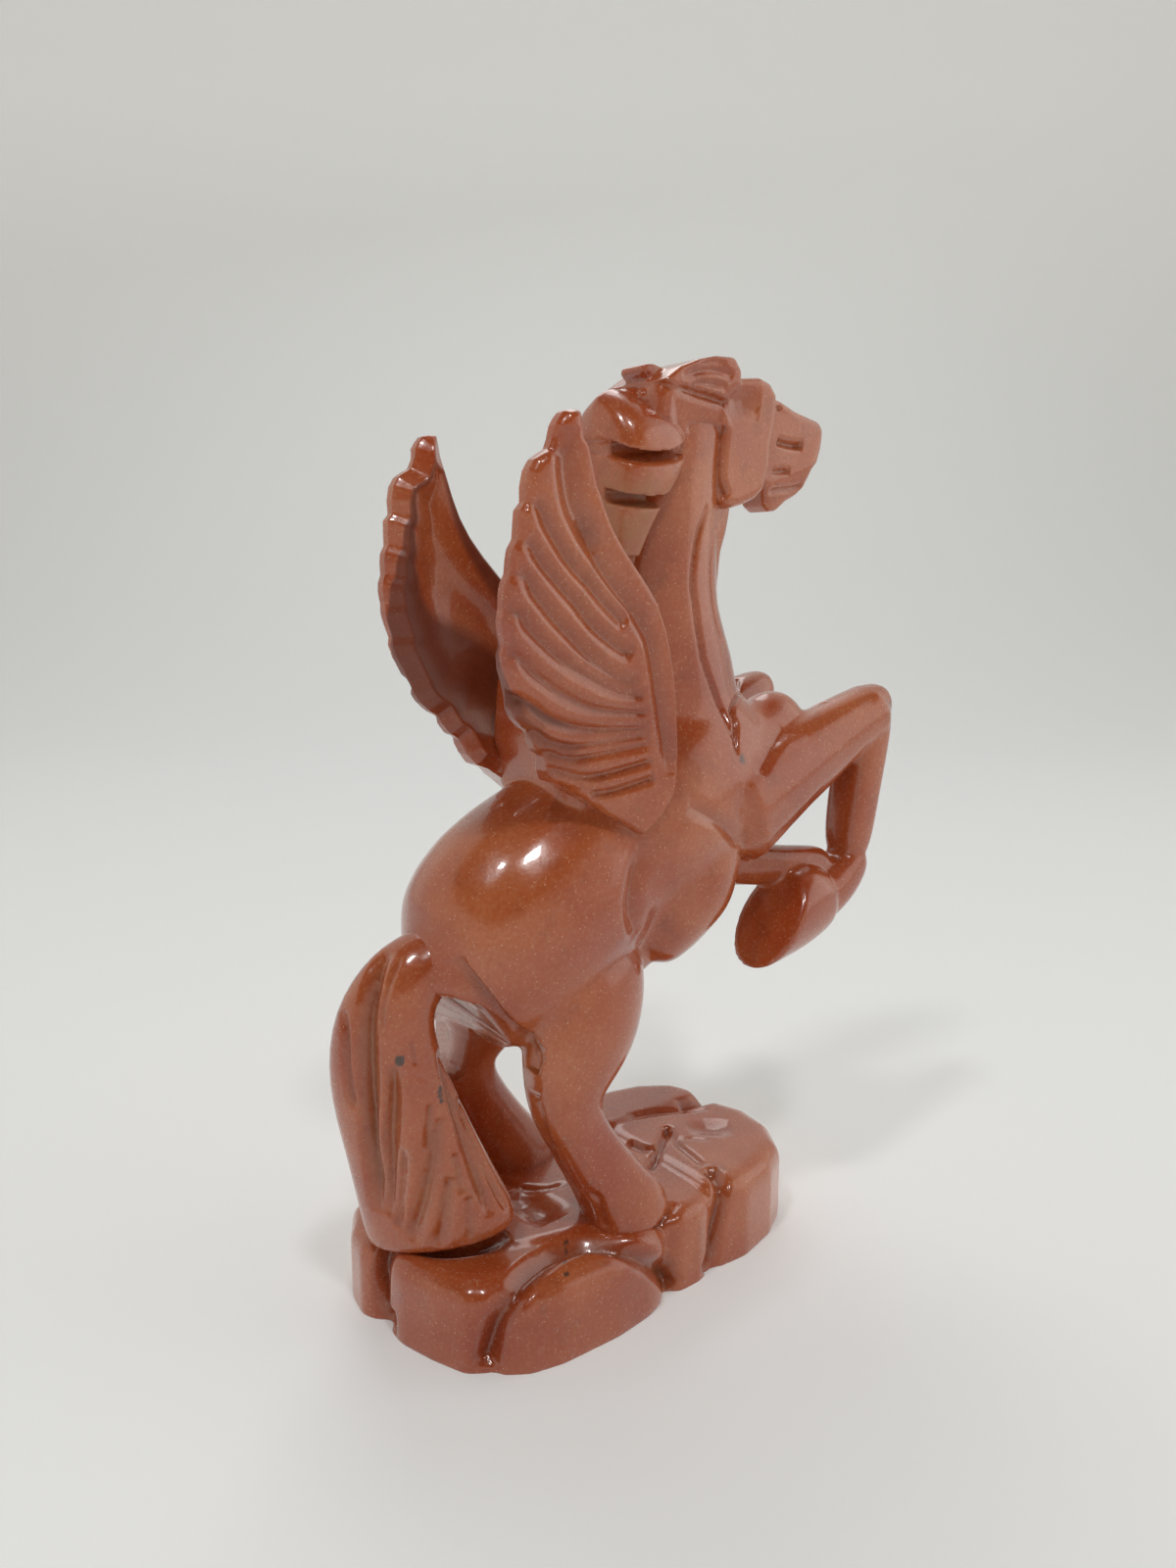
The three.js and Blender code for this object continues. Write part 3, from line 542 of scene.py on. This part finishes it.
def slotBand(slot):
    low, high = slot["level"] - slot["width"] / 2, slot["level"] + slot["width"] / 2
    return [(-8, low), (slot["front"], low), (slot["front"], high), (-8, high)]


mane = fused("carvedMane", [loft("maneBlock", maneBlock, sides=20), loft("maneRoot", maneRoot)],
             fineness["mane"], smoothing=4)
saws = []
for slot in maneSlots:
    for low, high in ((-maneReach, -maneCore), (maneCore, maneReach)):
        saws.append(slab("saw", slotBand(slot), low, high, edge=0))
    saws.append(slab("saw", slotBand({**slot, "front": slot["back"]}), -maneReach, maneReach, edge=0))
cutAway(mane, saws)
for point in mane.data.vertices:  # the locks climb towards the crest behind and towards the cheek in front
    x, y, z = point.co / mm
    climb = min(maneClimb["most"], max(maneClimb["least"],
                                       1 + (z - maneClimb["from"]) * maneClimb["rate"]))
    bow = maneClimb["bow"] * max(0, x - maneClimb["bowFrom"]) ** 2
    point.co.z += (climb * max(0, 1 - abs(y) / maneClimb["half"]) + bow) * mm
mane = fused("carvedMane", [mane], fineness["mane"], smoothing=2)
print("mane carved:", len(mane.data.polygons))


# wings: a sheet with a scalloped rim, bent to its place, with the feathers cut into its outer face

wing = {"outside": 25, "flare": 2.5, "tuck": 13, "rim": 7.4, "rimChamfer": 3.2, "edgeRound": 2.4,
        "dish": 2.6, "footThickness": 7, "featherWidth": 2.5, "featherDepth": 1.6, "leadRound": 0.8,
        "leadChamfer": 2, "dishReach": 9, "footTop": 124, "footHeight": 22}
wingFoot = Vector((0, 0, 101.2))
wingChord, wingHeight = 39, 80
wingOutline = [
    (568, 420), (580, 418), (592, 418), (597, 428), (601, 445), (606, 468), (611, 492), (617, 515),
    (626, 538), (638, 560), (651, 580), (663, 598), (674, 618), (681, 640), (686, 662), (690, 690),
    (692, 715), (693, 740), (694, 765), (693, 790), (690, 812), (676, 835), (658, 854), (640, 842),
    (622, 832), (606, 820), (590, 809), (572, 802), (557, 797), (551, 786), (549, 770), (541, 765),
    (536, 755), (534, 746), (526, 741), (518, 732), (514, 722), (513, 710), (510, 696), (506, 682),
    (505, 668), (508, 659), (506, 645), (505, 632), (507, 621), (507, 606), (509, 595), (513, 586),
    (514, 572), (516, 560), (521, 551), (522, 535), (523, 521), (529, 513), (529, 497), (532, 480),
    (538, 469), (546, 463), (553, 459), (557, 447), (559, 435), (563, 427)]
featherCuts = [
    [(545, 508), (553, 520), (561, 537), (570, 553), (580, 570), (590, 583), (603, 597), (615, 612),
     (628, 626), (642, 640)],
    [(536, 549), (543, 557), (551, 570), (560, 582), (570, 594), (580, 606), (590, 617), (600, 631),
     (612, 645), (625, 656), (638, 665), (650, 669)],
    [(526, 583), (537, 589), (543, 598), (550, 610), (558, 620), (566, 631), (575, 641), (588, 655),
     (603, 671), (618, 683), (634, 693), (656, 699)],
    [(517, 622), (530, 627), (540, 640), (550, 651), (562, 663), (574, 674), (590, 685), (605, 693),
     (620, 701), (640, 708), (662, 712)],
    [(514, 664), (528, 671), (538, 680), (548, 690), (560, 699), (572, 708), (585, 715), (600, 722),
     (618, 726), (640, 728), (664, 729)],
    [(514, 709), (532, 717), (545, 724), (558, 733), (572, 739), (590, 744), (610, 746), (635, 746),
     (665, 744)],
]
smallCuts = [
    [(536, 745), (548, 751), (558, 758), (572, 762), (588, 763), (605, 761), (630, 757), (667, 751)],
    [(549, 766), (560, 770), (572, 775), (588, 776), (605, 773), (630, 768), (668, 760)],
    [(557, 783), (572, 789), (590, 794), (605, 794), (630, 788), (670, 776)],
    [(600, 812), (620, 810), (640, 804), (672, 793)],
]
wingChannel = [(592, 530), (602, 552), (612, 574), (623, 592), (634, 607), (646, 622), (656, 638),
               (663, 652), (667, 668), (670, 688), (673, 708), (676, 730), (679, 752), (682, 775),
               (685, 795)]


def outerFace(x, z):
    # how far from the middle the wing's outer face lies
    height = (z - wingFoot.z) / wingHeight
    reach = wing["outside"] + wing["flare"] * height
    return reach - wing["tuck"] * numpy.maximum(0,
                                                1 - height) ** 3 * (0.2 - 1.5 * (x - wingFoot.x) / wingChord)


def ontoWing(u, v, depth):
    # where the sight line to a point of the picture meets the right wing, so far inside its outer face
    way, side = sightline(u, v), -25
    for attempt in range(8):
        place = (eye + way * ((side * mm - eye.y) / way.y)) / mm
        side = depth - outerFace(place.x, place.z)
    return place


wingTip, wingEnd = 4, 26  # where the leading side of the outline starts and ends
rim = []
for index, (u, v) in enumerate(wingOutline):
    inside = {0: 1, 1: 0.75, 2: 0.4, 3: 0.15}.get(index, 0 if wingTip <= index <= wingEnd else 1)
    rim.append(ontoWing(u, v, inside * (wing["rim"] - wing["rimChamfer"])))
sheet = slab("wingSheet", [(place.x, place.z) for place in rim], 0, wing["rim"], edge=0.5)
rightWing = fused("carvedRightWing", [sheet], fineness["wing"], smoothing=1)
count = len(rightWing.data.vertices)
spots = numpy.empty(count * 3)
rightWing.data.vertices.foreach_get("co", spots)
spots = spots.reshape(-1, 3) / mm


def insetFrom(line):
    # how far each point of the sheet lies from part of its outline
    line = numpy.array([(place.x, place.z) for place in line])
    steps = numpy.linspace(0, 1, 12, endpoint=False)[None, :, None]
    line = (line[:-1, None] * (1 - steps) + line[1:, None] * steps).reshape(-1, 2)
    near = numpy.empty(count)
    for start in range(0, count, 20000):
        part = spots[start:start + 20000][:, [0, 2]]
        apart = (part ** 2).sum(1)[:, None] - 2 * part @ line.T + (line ** 2).sum(1)[None]
        near[start:start + 20000] = numpy.sqrt(numpy.maximum(0, apart.min(1)))
    return near


trailing = insetFrom(rim[wingEnd:] + rim[:wingTip + 1])
leading = insetFrom(rim[wingTip:wingEnd + 1])
across = numpy.clip(spots[:, 1] / wing["rim"], 0, 1)
foot = numpy.clip((wing["footTop"] - spots[:, 2]) / wing["footHeight"], 0, 1)
rounded = 1 - numpy.sqrt(1 - (1 - numpy.clip(trailing / wing["edgeRound"], 0, 1)) ** 2)
leadRounded = (1 - numpy.clip(leading / wing["leadRound"], 0, 1)) ** 2
outer = wing["edgeRound"] * rounded + wing["leadRound"] * leadRounded
chamfer = wing["rimChamfer"] * numpy.maximum(1 - numpy.clip(trailing / wing["rimChamfer"], 0, 1),
                                             1 - numpy.clip(leading / wing["leadChamfer"], 0, 1))
dished = numpy.minimum(trailing - wing["rimChamfer"], leading - wing["leadChamfer"])
dished = numpy.clip(dished / wing["dishReach"], 0, 1)
dished = wing["dish"] * dished * (2 - dished) * (1 - foot)
inner = wing["rim"] + wing["footThickness"] * foot ** 1.5 - chamfer - dished
spots[:, 1] = -outerFace(spots[:, 0], spots[:, 2]) + outer + across * (inner - outer)
rightWing.data.vertices.foreach_set("co", (spots * mm).ravel())
rightWing.data.update()
bpy.context.view_layer.update()
wingStrokes = [("groove", wing["featherWidth"], wing["featherDepth"], cut, 0.05) for cut in featherCuts]
wingStrokes += [("groove", wing["featherWidth"] * 0.72, wing["featherDepth"] * 0.8, cut,
                 0.08) for cut in smallCuts]
wingStrokes += [
    ("groove", 2.6, 1.5, wingChannel, 0.1),
    ("hollow", 4, 1.6, [(580, 432), (580, 460), (582, 490), (588, 520), (598, 545), (610, 568)], 0.2),
    ("swell", 3, 0.5, [(596, 440), (607, 500), (622, 545), (648, 590), (670, 630)], 0.1),
]
work(rightWing, wingStrokes)
soften(rightWing, 1)
leftWing = mirrored(rightWing, "carvedLeftWing")
print("wings carved:", len(rightWing.data.polygons))


# tail: a thick fan of strands that faces the right rear

tailRings = [((-26, 0, 77.5), 9, 9), ((-31, 0, 78), 12.5, 12), ((-37, 0, 77.2), 14.5, 13.3),
             ((-44, 0.8, 74), 17, 13.5), ((-48.5, 1.4, 66), 21, 13), ((-48, 1.5, 53.8), 25.5, 13.5),
             ((-44, 0.5, 40), 28, 14.5), ((-40.5, -1, 28), 31.5, 16.5), ((-38.3, -2.5, 20), 34, 18),
             ((-38, -2.7, 18.2), 30, 14)]
tail = fused("carvedTail", [loft("tail", tailRings, sides=20, across=(0.637, -0.771, 0))],
             fineness["tail"], smoothing=3)
tailStrokes = [
    ("groove", 1.6, 1.6, [(351, 1030), (352, 1060), (353, 1090), (357, 1115), (361, 1135)]),
    ("groove", 3.2, 3.1, [(398, 968), (386, 985), (378, 1010), (374, 1040), (374, 1080), (376, 1120),
                          (378, 1160), (382, 1200), (386, 1240)]),
    ("groove", 2.2, 2, [(402, 1085), (401, 1110), (401, 1140), (399, 1180), (398, 1210), (397, 1245)]),
    ("groove", 1.6, 1.2, [(414, 1170), (411, 1200), (408, 1230), (406, 1258)]),
    ("groove", 1, 0.7, [(419, 1062), (421, 1075), (424, 1092)]),
    ("groove", 1.4, 1, [(439, 1125), (437, 1150), (436, 1180)]),
    ("groove", 3, 1.8, [(449, 1140), (444, 1165), (439, 1195), (432, 1225), (424, 1250), (418, 1270)]),
    ("groove", 2.6, 1.4, [(459, 1200), (455, 1225), (451, 1250), (447, 1275)]),
    ("groove", 1.4, 1, [(464, 1175), (468, 1198), (472, 1222)]),
    ("groove", 1.8, 1, [(478, 1220), (479, 1245), (480, 1270)]),
    ("groove", 2.2, 2, [(448, 1070), (455, 1095), (464, 1125), (473, 1155), (482, 1185), (492, 1215),
                        (501, 1245), (505, 1268)]),
    ("groove", 1.5, 1.2, [(456, 1085), (467, 1118), (477, 1148), (488, 1178), (503, 1208), (519, 1238),
                          (528, 1256)]),
    ("groove", 1.2, 0.8, [(410, 975), (398, 1000), (390, 1030), (389, 1060)]),
    ("swell", 3, 0.6, [(392, 1100), (390, 1150), (390, 1200)], 0.3),
    ("swell", 4, 0.7, [(425, 1100), (420, 1150), (418, 1200)], 0.3),
]
work(tail, tailStrokes)
farTail = [  # strands of the side that faces the legs and the left, from the root to the hem
    [(-40, 8, 76), (-46, 9, 66), (-48, 11, 52), (-46, 13, 38), (-44, 14, 22)],
    [(-36, 8, 74), (-40, 9, 62), (-42, 10, 50), (-39, 10, 36), (-37, 10, 22)],
    [(-38, 2, 68), (-40, 2, 56), (-38, 4, 44), (-34, 3, 32), (-32, 3, 22)],
    [(-38, -4, 62), (-36, -5, 50), (-32, -4, 36), (-28, -4, 22)],
]
for line in farTail:
    carve(tail, touching(tail, line), "groove", 2.6, 1.5)
soften(tail, 1)
stain(tail, [((408, 1081), 0.9), ((408, 1085), 0.8), ((449, 1110), 0.5), ((449, 1114), 0.5),
             ((449, 1118), 0.5), ((450, 1123), 0.5)])
print("tail carved:", len(tail.data.polygons))


# rock base: boulders side by side, cut with clefts

boulders = {  # outline from above, level of the top, rounding of the edge
    "farLeft": ([(-50.5, 3), (-51.8, 8), (-50.5, 15), (-46, 23), (-38, 27), (-27, 26), (-26, 6),
                 (-38, 0)], 17, 4),
    "nearLeft": ([(-50.2, -1), (-50.2, -6), (-48, -14), (-45, -21.5), (-41.5, -24), (-24, -25.5),
                  (-16, 8), (-42, 10), (-48, 2)], 17.6, 4.5),
    "arch": ([(-42, -22), (-39.5, -26.5), (-35, -29.5), (-28, -31), (-14, -31.2), (-5, -29.9),
              (2.5, -27.6), (4, -22), (2, -12), (-38, -12)], 17.2, 6.5),
    "middle": ([(-34, -16), (2, -24), (6, -27.2), (12, -27), (18, -24.8), (20, -10), (20, 24), (8, 28),
                (-34, 27)], 18, 3.5),
    "right": ([(15.5, -25.8), (27, -26.3), (38, -23.2), (46, -18.5), (51.5, -10), (53.2, 0), (50.5, 9),
               (44, 20), (16, 22)], 19.2, 4.5),
    "back": ([(14, 12), (30, 10), (46, 10), (48.5, 14.5), (46, 21), (38.5, 26), (30, 28), (15, 27)], 20.2,
             4),
}
rocks = [slab(name, plan, -4, top, edge=edge, axis="z", steps=4) for name,
         (plan, top, edge) in boulders.items()]
base = fused("carvedRock", rocks, fineness["rock"], smoothing=20)
archLine = [(495, 1396), (500, 1375), (505, 1355), (515, 1335), (525, 1318), (537, 1300), (550, 1288),
            (570, 1277), (595, 1270), (615, 1270), (640, 1275), (655, 1283), (668, 1293), (678, 1303),
            (684, 1316)]
rockStrokes = [
    ("groove", 3.6, 3.0, archLine, 0.02),
    ("groove", 3.2, 3.0, [(398, 1272), (393, 1290), (392, 1310), (398, 1335), (406, 1354)], 0.02),
    ("groove", 2.6, 2.6, [(722, 1192), (733, 1203), (735, 1230), (730, 1255), (724, 1280), (717, 1301)],
     0.02),
    ("groove", 1.8, 1.2, [(681, 1148), (690, 1165), (704, 1177), (720, 1190)], 0.1),
    ("groove", 1.6, 2.0, [(682, 1150), (674, 1168), (668, 1182), (661, 1195)], 0.1),
    ("groove", 1.6, 1.2, [(640, 1166), (655, 1172), (670, 1176)], 0.1),
    ("groove", 1.2, 0.6, [(690, 1165), (708, 1161), (726, 1163)], 0.2),
    ("hollow", 7, 2.2, [(520, 1215), (545, 1230), (570, 1245)], 0.3),
    ("groove", 1.5, 0.9, [(503, 1202), (530, 1210), (560, 1212), (580, 1206)], 0.1),
    ("hollow", 5, 2.0, [(420, 1262), (450, 1272), (490, 1268), (520, 1258)], 0.3),
    ("groove", 2.5, 1.0, [(640, 1250), (660, 1247), (682, 1238), (690, 1225)], 0.2),
    ("groove", 2, 1.0, [(640, 1140), (668, 1135), (695, 1133), (724, 1130)], 0.1),
    ("hollow", 6, 1.2, [(700, 1150), (725, 1150), (750, 1150)], 0.4),
]
work(base, rockStrokes)
farClefts = [
    [(12, 30, 0), (11, 29, 6), (12, 28, 12), (14, 25, 18), (16, 20, 20)],
    [(-30, 30, 0), (-31, 29, 7), (-29, 28, 13), (-28, 22, 18), (-27, 14, 18)],
    [(56, 10, 0), (53, 10, 8), (51, 10, 14), (46, 9, 19), (38, 10, 20)],
    [(-8, 30, 8), (-2, 30, 13), (6, 30, 15), (10, 29, 10)],
    [(40, 26, 0), (40, 26, 8), (38, 25, 14)],
]
for line in farClefts:
    carve(base, touching(base, line), "groove", 3, 2.4, ends=0.05)
soften(base, 1)
stain(base, [((577, 1268), 0.6), ((579, 1278), 0.5), ((576, 1288), 0.5), ((578, 1300), 0.5)])
editMode(base)
bpy.ops.mesh.select_all(action="SELECT")
bpy.ops.mesh.bisect(plane_co=(0, 0, 0), plane_no=(0, 0, 1), use_fill=True, clear_inner=True)
objectMode()
print("rock carved:", len(base.data.polygons))


# stone

class Value:
    # a socket that can be used in sums
    def __init__(self, tree, socket):
        self.tree, self.socket = tree, socket

    def worked(self, operation, first, second, clamp=False):
        node = self.tree.nodes.new("ShaderNodeMath")
        node.operation, node.use_clamp = operation, clamp
        for slotInput, value in zip(node.inputs, (first, second)):
            if isinstance(value, Value):
                self.tree.links.new(value.socket, slotInput)
            else:
                slotInput.default_value = value
        return Value(self.tree, node.outputs[0])

    def __add__(self, other): return self.worked("ADD", self, other)
    def __radd__(self, other): return self.worked("ADD", other, self)
    def __sub__(self, other): return self.worked("SUBTRACT", self, other)
    def __rsub__(self, other): return self.worked("SUBTRACT", other, self)
    def __mul__(self, other): return self.worked("MULTIPLY", self, other)
    def __rmul__(self, other): return self.worked("MULTIPLY", other, self)

    def clamped(self):
        return self.worked("ADD", self, 0.0, clamp=True)


class Material:
    # the nodes of a material or of the world
    def __init__(self, owner):
        owner.use_nodes = True
        self.owner, self.tree = owner, owner.node_tree
        self.tree.nodes.clear()

    def node(self, kind, settings=None, output=0, **inputs):
        # inputs are named as the node's sockets, or i with the number of one
        node = self.tree.nodes.new(kind)
        for setting, value in (settings or {}).items():
            setattr(node, setting, value)
        for name, value in inputs.items():
            socket = node.inputs[int(name[1:]) if name[1:].isdigit() else name.replace("_", " ")]
            if isinstance(value, Value):
                self.tree.links.new(value.socket, socket)
            else:
                socket.default_value = value
        return Value(self.tree, node.outputs[output]) if node.outputs else None

    def mixed(self, factor, first, second):
        first = first if isinstance(first, Value) else (*first, 1)
        second = second if isinstance(second, Value) else (*second, 1)
        return self.node("ShaderNodeMix", {"data_type": "RGBA"}, output=2, i0=factor, i6=first, i7=second)


def stoneMaterial(name, look):
    stone = Material(bpy.data.materials.new(name))
    place = stone.node("ShaderNodeTexCoord", output=3)

    def noise(size, detail=3, roughness=0.55):  # size in millimetres
        return stone.node("ShaderNodeTexNoise", Vector=place, Scale=1000 / size, Detail=detail,
                          Roughness=roughness)

    clouds = noise(look["cloudSize"])
    colour = stone.mixed((clouds * 3 - 0.95).clamped(), look["deep"], look["light"])
    mottle = noise(look["mottleSize"], detail=5, roughness=0.7)
    colour = stone.mixed(((mottle - 0.55) * 5).clamped() * look["mottle"], colour, look["dark"])
    grains = stone.node("ShaderNodeTexVoronoi", {"feature": "F1"}, Vector=place,
                        Scale=1000 / look["grainSize"])
    pick = noise(look["grainSpacing"], detail=1)
    speck = ((0.22 - grains) * 12).clamped() * ((pick - 0.5) * 12).clamped()
    colour = stone.mixed(speck * look["grainShare"], colour, look["grain"])
    grit = noise(look["gritSize"], detail=2)
    colour = stone.mixed(((grit - 0.52) * 4).clamped() * look["gritShare"], colour, look["grain"])
    colour = stone.mixed(((0.46 - grit) * 5).clamped() * look["pitShare"], colour, look["deep"])
    dustPatch = noise(look["dustSize"], detail=6, roughness=0.75)
    cut = stone.node("ShaderNodeAttribute", {"attribute_name": "cut"}, output=2)
    height = stone.node("ShaderNodeSeparateXYZ", output=2, Vector=place)
    low = ((look["dustTop"] - height) * 150).clamped()
    dust = ((cut * look["cutDust"] + look["dust"] * low + (dustPatch - 0.56) * 3).clamped() * (low * 0.6 + 0.4)
            * look["dustShare"])
    # painted shade: the carved cuts are darkened by their depth, which also gives the forelock a painted dark
    # reflection
    colour = stone.mixed((cut * 0.3).clamped() * look["cutShadeShare"], colour, look["dark"])
    colour = stone.mixed(dust, colour, look["residue"])
    stained = stone.node("ShaderNodeAttribute", {"attribute_name": "stain"}, output=2)
    colour = stone.mixed(stained * look["speckShare"], colour, look["speck"])
    coat = look["coat"] + dust * -0.6
    if "paintedShadeReach" in look:  # the faces that look at each other get painted shade: a darker colour, with a duller coat
        side = stone.node("ShaderNodeSeparateXYZ", output=1, Vector=place)
        inner = ((look["paintedShadeReach"] ** 2 - side * side) * 50000).clamped() * ((height - 0.112) * 60).clamped()
        # painted light: the upper part of the wings turns a deeper orange, as of light shining through the thin
        # stone
        colour = stone.mixed(((height - look["tipFrom"]) * 90).clamped() * 0.7, colour, look["tip"])
        # painted shade on the wings' inner faces, between the wings
        colour = stone.mixed(inner * 0.75, colour, look["inner"])
        dust = dust + inner * 0.3
        coat = coat * (1 - inner * 0.85)
    roughness = look["roughness"] + (mottle - 0.5) * 0.08 + speck * 0.1 + dust * 0.4
    unevenness = noise(2.5, detail=4) + dust * noise(0.5, detail=2) * 2
    fine = stone.node("ShaderNodeBump", Strength=look["bump"], Distance=look["bumpHeight"],
                      Height=unevenness)
    shader = stone.node("ShaderNodeBsdfPrincipled", Base_Color=colour, Roughness=roughness, Normal=fine,
                        IOR=1.55, Coat_Weight=coat.clamped(), Coat_Roughness=0.05)
    stone.node("ShaderNodeOutputMaterial", Surface=shader)
    return stone.owner


# dark is the mottle's own dark tone, and also the colour of the painted shade in the cuts
stoneColours = {"deep": (0.33, 0.044, 0.007), "light": (0.47, 0.122, 0.038), "dark": (0.15, 0.020, 0.005),
                "grain": (0.7, 0.42, 0.26), "residue": (0.40, 0.19, 0.095), "speck": (0.03, 0.02, 0.016),
                "cloudSize": 30, "mottleSize": 7, "mottle": 0.4, "grainSize": 0.75, "grainSpacing": 1.1,
                "grainShare": 0.6, "gritSize": 0.8, "gritShare": 0.16, "pitShare": 0.4, "cutShadeShare": 0.55,
                "speckShare": 0.9, "roughness": 0.25, "bump": 0.3, "bumpHeight": 0.0002, "coat": 0.65}
stoneLooks = {
    "polished": {**stoneColours, "dustSize": 9, "dustTop": 1, "cutDust": 0.2, "dust": -0.3,
                 "dustShare": 0.45},
    "mane": {**stoneColours, "dustSize": 5, "dustTop": 0.176, "cutDust": 0.3, "dust": 0.75,
             "dustShare": 0.9},
    "wing": {**stoneColours, "dustSize": 9, "dustTop": 1, "cutDust": 0.2, "dust": -0.3, "dustShare": 0.45,
             # painted shade colour for the wings' inner faces, where they look at each other
             "paintedShadeReach": 0.0203, "inner": (0.11, 0.014, 0.003), "tipFrom": 0.172,
             # painted colour of light shining through the thin wing tops
             "tip": (0.42, 0.062, 0.008)},
    "tail": {**stoneColours, "dustSize": 8, "dustTop": 0.07, "cutDust": 0.25, "dust": 0.05,
             "dustShare": 0.5},
    "rock": {**stoneColours, "dustSize": 7, "dustTop": 1, "cutDust": 0.2, "dust": -0.2, "dustShare": 0.5},
}
stones = {name: stoneMaterial(name + "Stone", look) for name, look in stoneLooks.items()}
print("stone made")


def placePiece(piece, material, slot, *nodes):
    piece.data.materials.clear()
    piece.data.materials.append(material)
    pickOnly(piece)
    bpy.ops.object.shade_smooth()
    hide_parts(*nodes)
    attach(piece, "root")


placePiece(body, stones["polished"], "polished_stone", "barrel", "hindquarters", "neck", "right_hind_leg",
           "left_hind_leg", "right_forearm", "right_fore_shank", "right_fore_hoof", "left_forearm",
           "left_fore_shank", "left_fore_hoof", "wing_saddle")
placePiece(head, stones["polished"], "polished_stone", "head", "forelock")
placePiece(mane, stones["mane"], "weathered_stone", "mane_lock_1", "mane_lock_2", "mane_lock_3",
           "mane_lock_4")
placePiece(rightWing, stones["wing"], "polished_stone", "right_wing")
placePiece(leftWing, stones["wing"], "polished_stone", "left_wing")
placePiece(tail, stones["tail"], "weathered_stone", "tail")
placePiece(base, stones["rock"], "rock_stone", "rock_base")


# floor and light

paperSheet = {"size": 3, "rise": 2.2, "curve": 0.8, "turn": 38, "colour": (0.86, 0.88, 0.885, 1),
              "glow": (0.97, 1, 1, 1), "glowStrength": 0.13}
bpy.ops.mesh.primitive_plane_add(size=paperSheet["size"])
sweep = bpy.context.object
sweep.name = "sweep"
editMode(sweep)
pickPoints(sweep, lambda point: point.co.y > 0)
bpy.ops.mesh.extrude_region_move(TRANSFORM_OT_translate={"value": (0, 0, paperSheet["rise"])})
bpy.ops.mesh.select_all(action="DESELECT")
objectMode()
applied(sweep, "curve", "BEVEL", width=paperSheet["curve"], segments=16, limit_method="ANGLE")
pickOnly(sweep)
bpy.ops.transform.rotate(value=math.radians(paperSheet["turn"]), orient_axis="Z",
                         center_override=(0, 0, 0))
settle()
bpy.ops.object.shade_smooth()
paper = Material(bpy.data.materials.new("palePaper"))
paperShader = paper.node("ShaderNodeBsdfPrincipled", Base_Color=paperSheet["colour"], Roughness=0.9,
                         Emission_Color=paperSheet["glow"], Emission_Strength=paperSheet["glowStrength"])
paper.node("ShaderNodeOutputMaterial", Surface=paperShader)
sweep.data.materials.append(paper.owner)

lamps = {
    "keyLeft": {"place": (-0.46, -0.16, 0.95), "size": 0.1, "power": 1.5},
    "keyRight": {"place": (-0.14, -0.44, 0.95), "size": 0.1, "power": 1.5},
    "right": {"place": (0.87, -0.55, 0.55), "size": 0.9, "power": 1.4},
    "back": {"place": (0.4, 0.75, 1.15), "size": 0.7, "power": 3},
}
lampAim = (0, 0, 0.09)
for name, lamp in lamps.items():
    place = Vector(lamp["place"])
    turn = (Vector(lampAim) - place).to_track_quat("-Z", "Y").to_euler()
    bpy.ops.object.light_add(type="AREA", location=place, rotation=turn)
    softbox = bpy.context.object
    softbox.name = name
    softbox.data.size = lamp["size"]
    softbox.data.energy = lamp["power"]
world = bpy.data.worlds.new("studioRoom")
bpy.context.scene.world = world
walls = {"pale": (0.71, 0.665, 0.59), "dark": (0.05, 0.045, 0.04), "darkSide": (-0.25, -0.3, 0.92),
         "darkFrom": 0.57, "darkEdge": 7}
room = Material(world)  # pale walls around, dark above the camera
toward = room.node("ShaderNodeVectorMath", {"operation": "DOT_PRODUCT"}, output=1, i1=walls["darkSide"],
                   i0=room.node("ShaderNodeTexCoord", output=0))
wall = room.mixed(((toward - walls["darkFrom"]) * walls["darkEdge"]).clamped(), walls["pale"],
                  walls["dark"])
room.node("ShaderNodeOutputWorld", Surface=room.node("ShaderNodeBackground", Color=wall))
bpy.context.scene.view_settings.view_transform = "Standard"
print("studio lit")
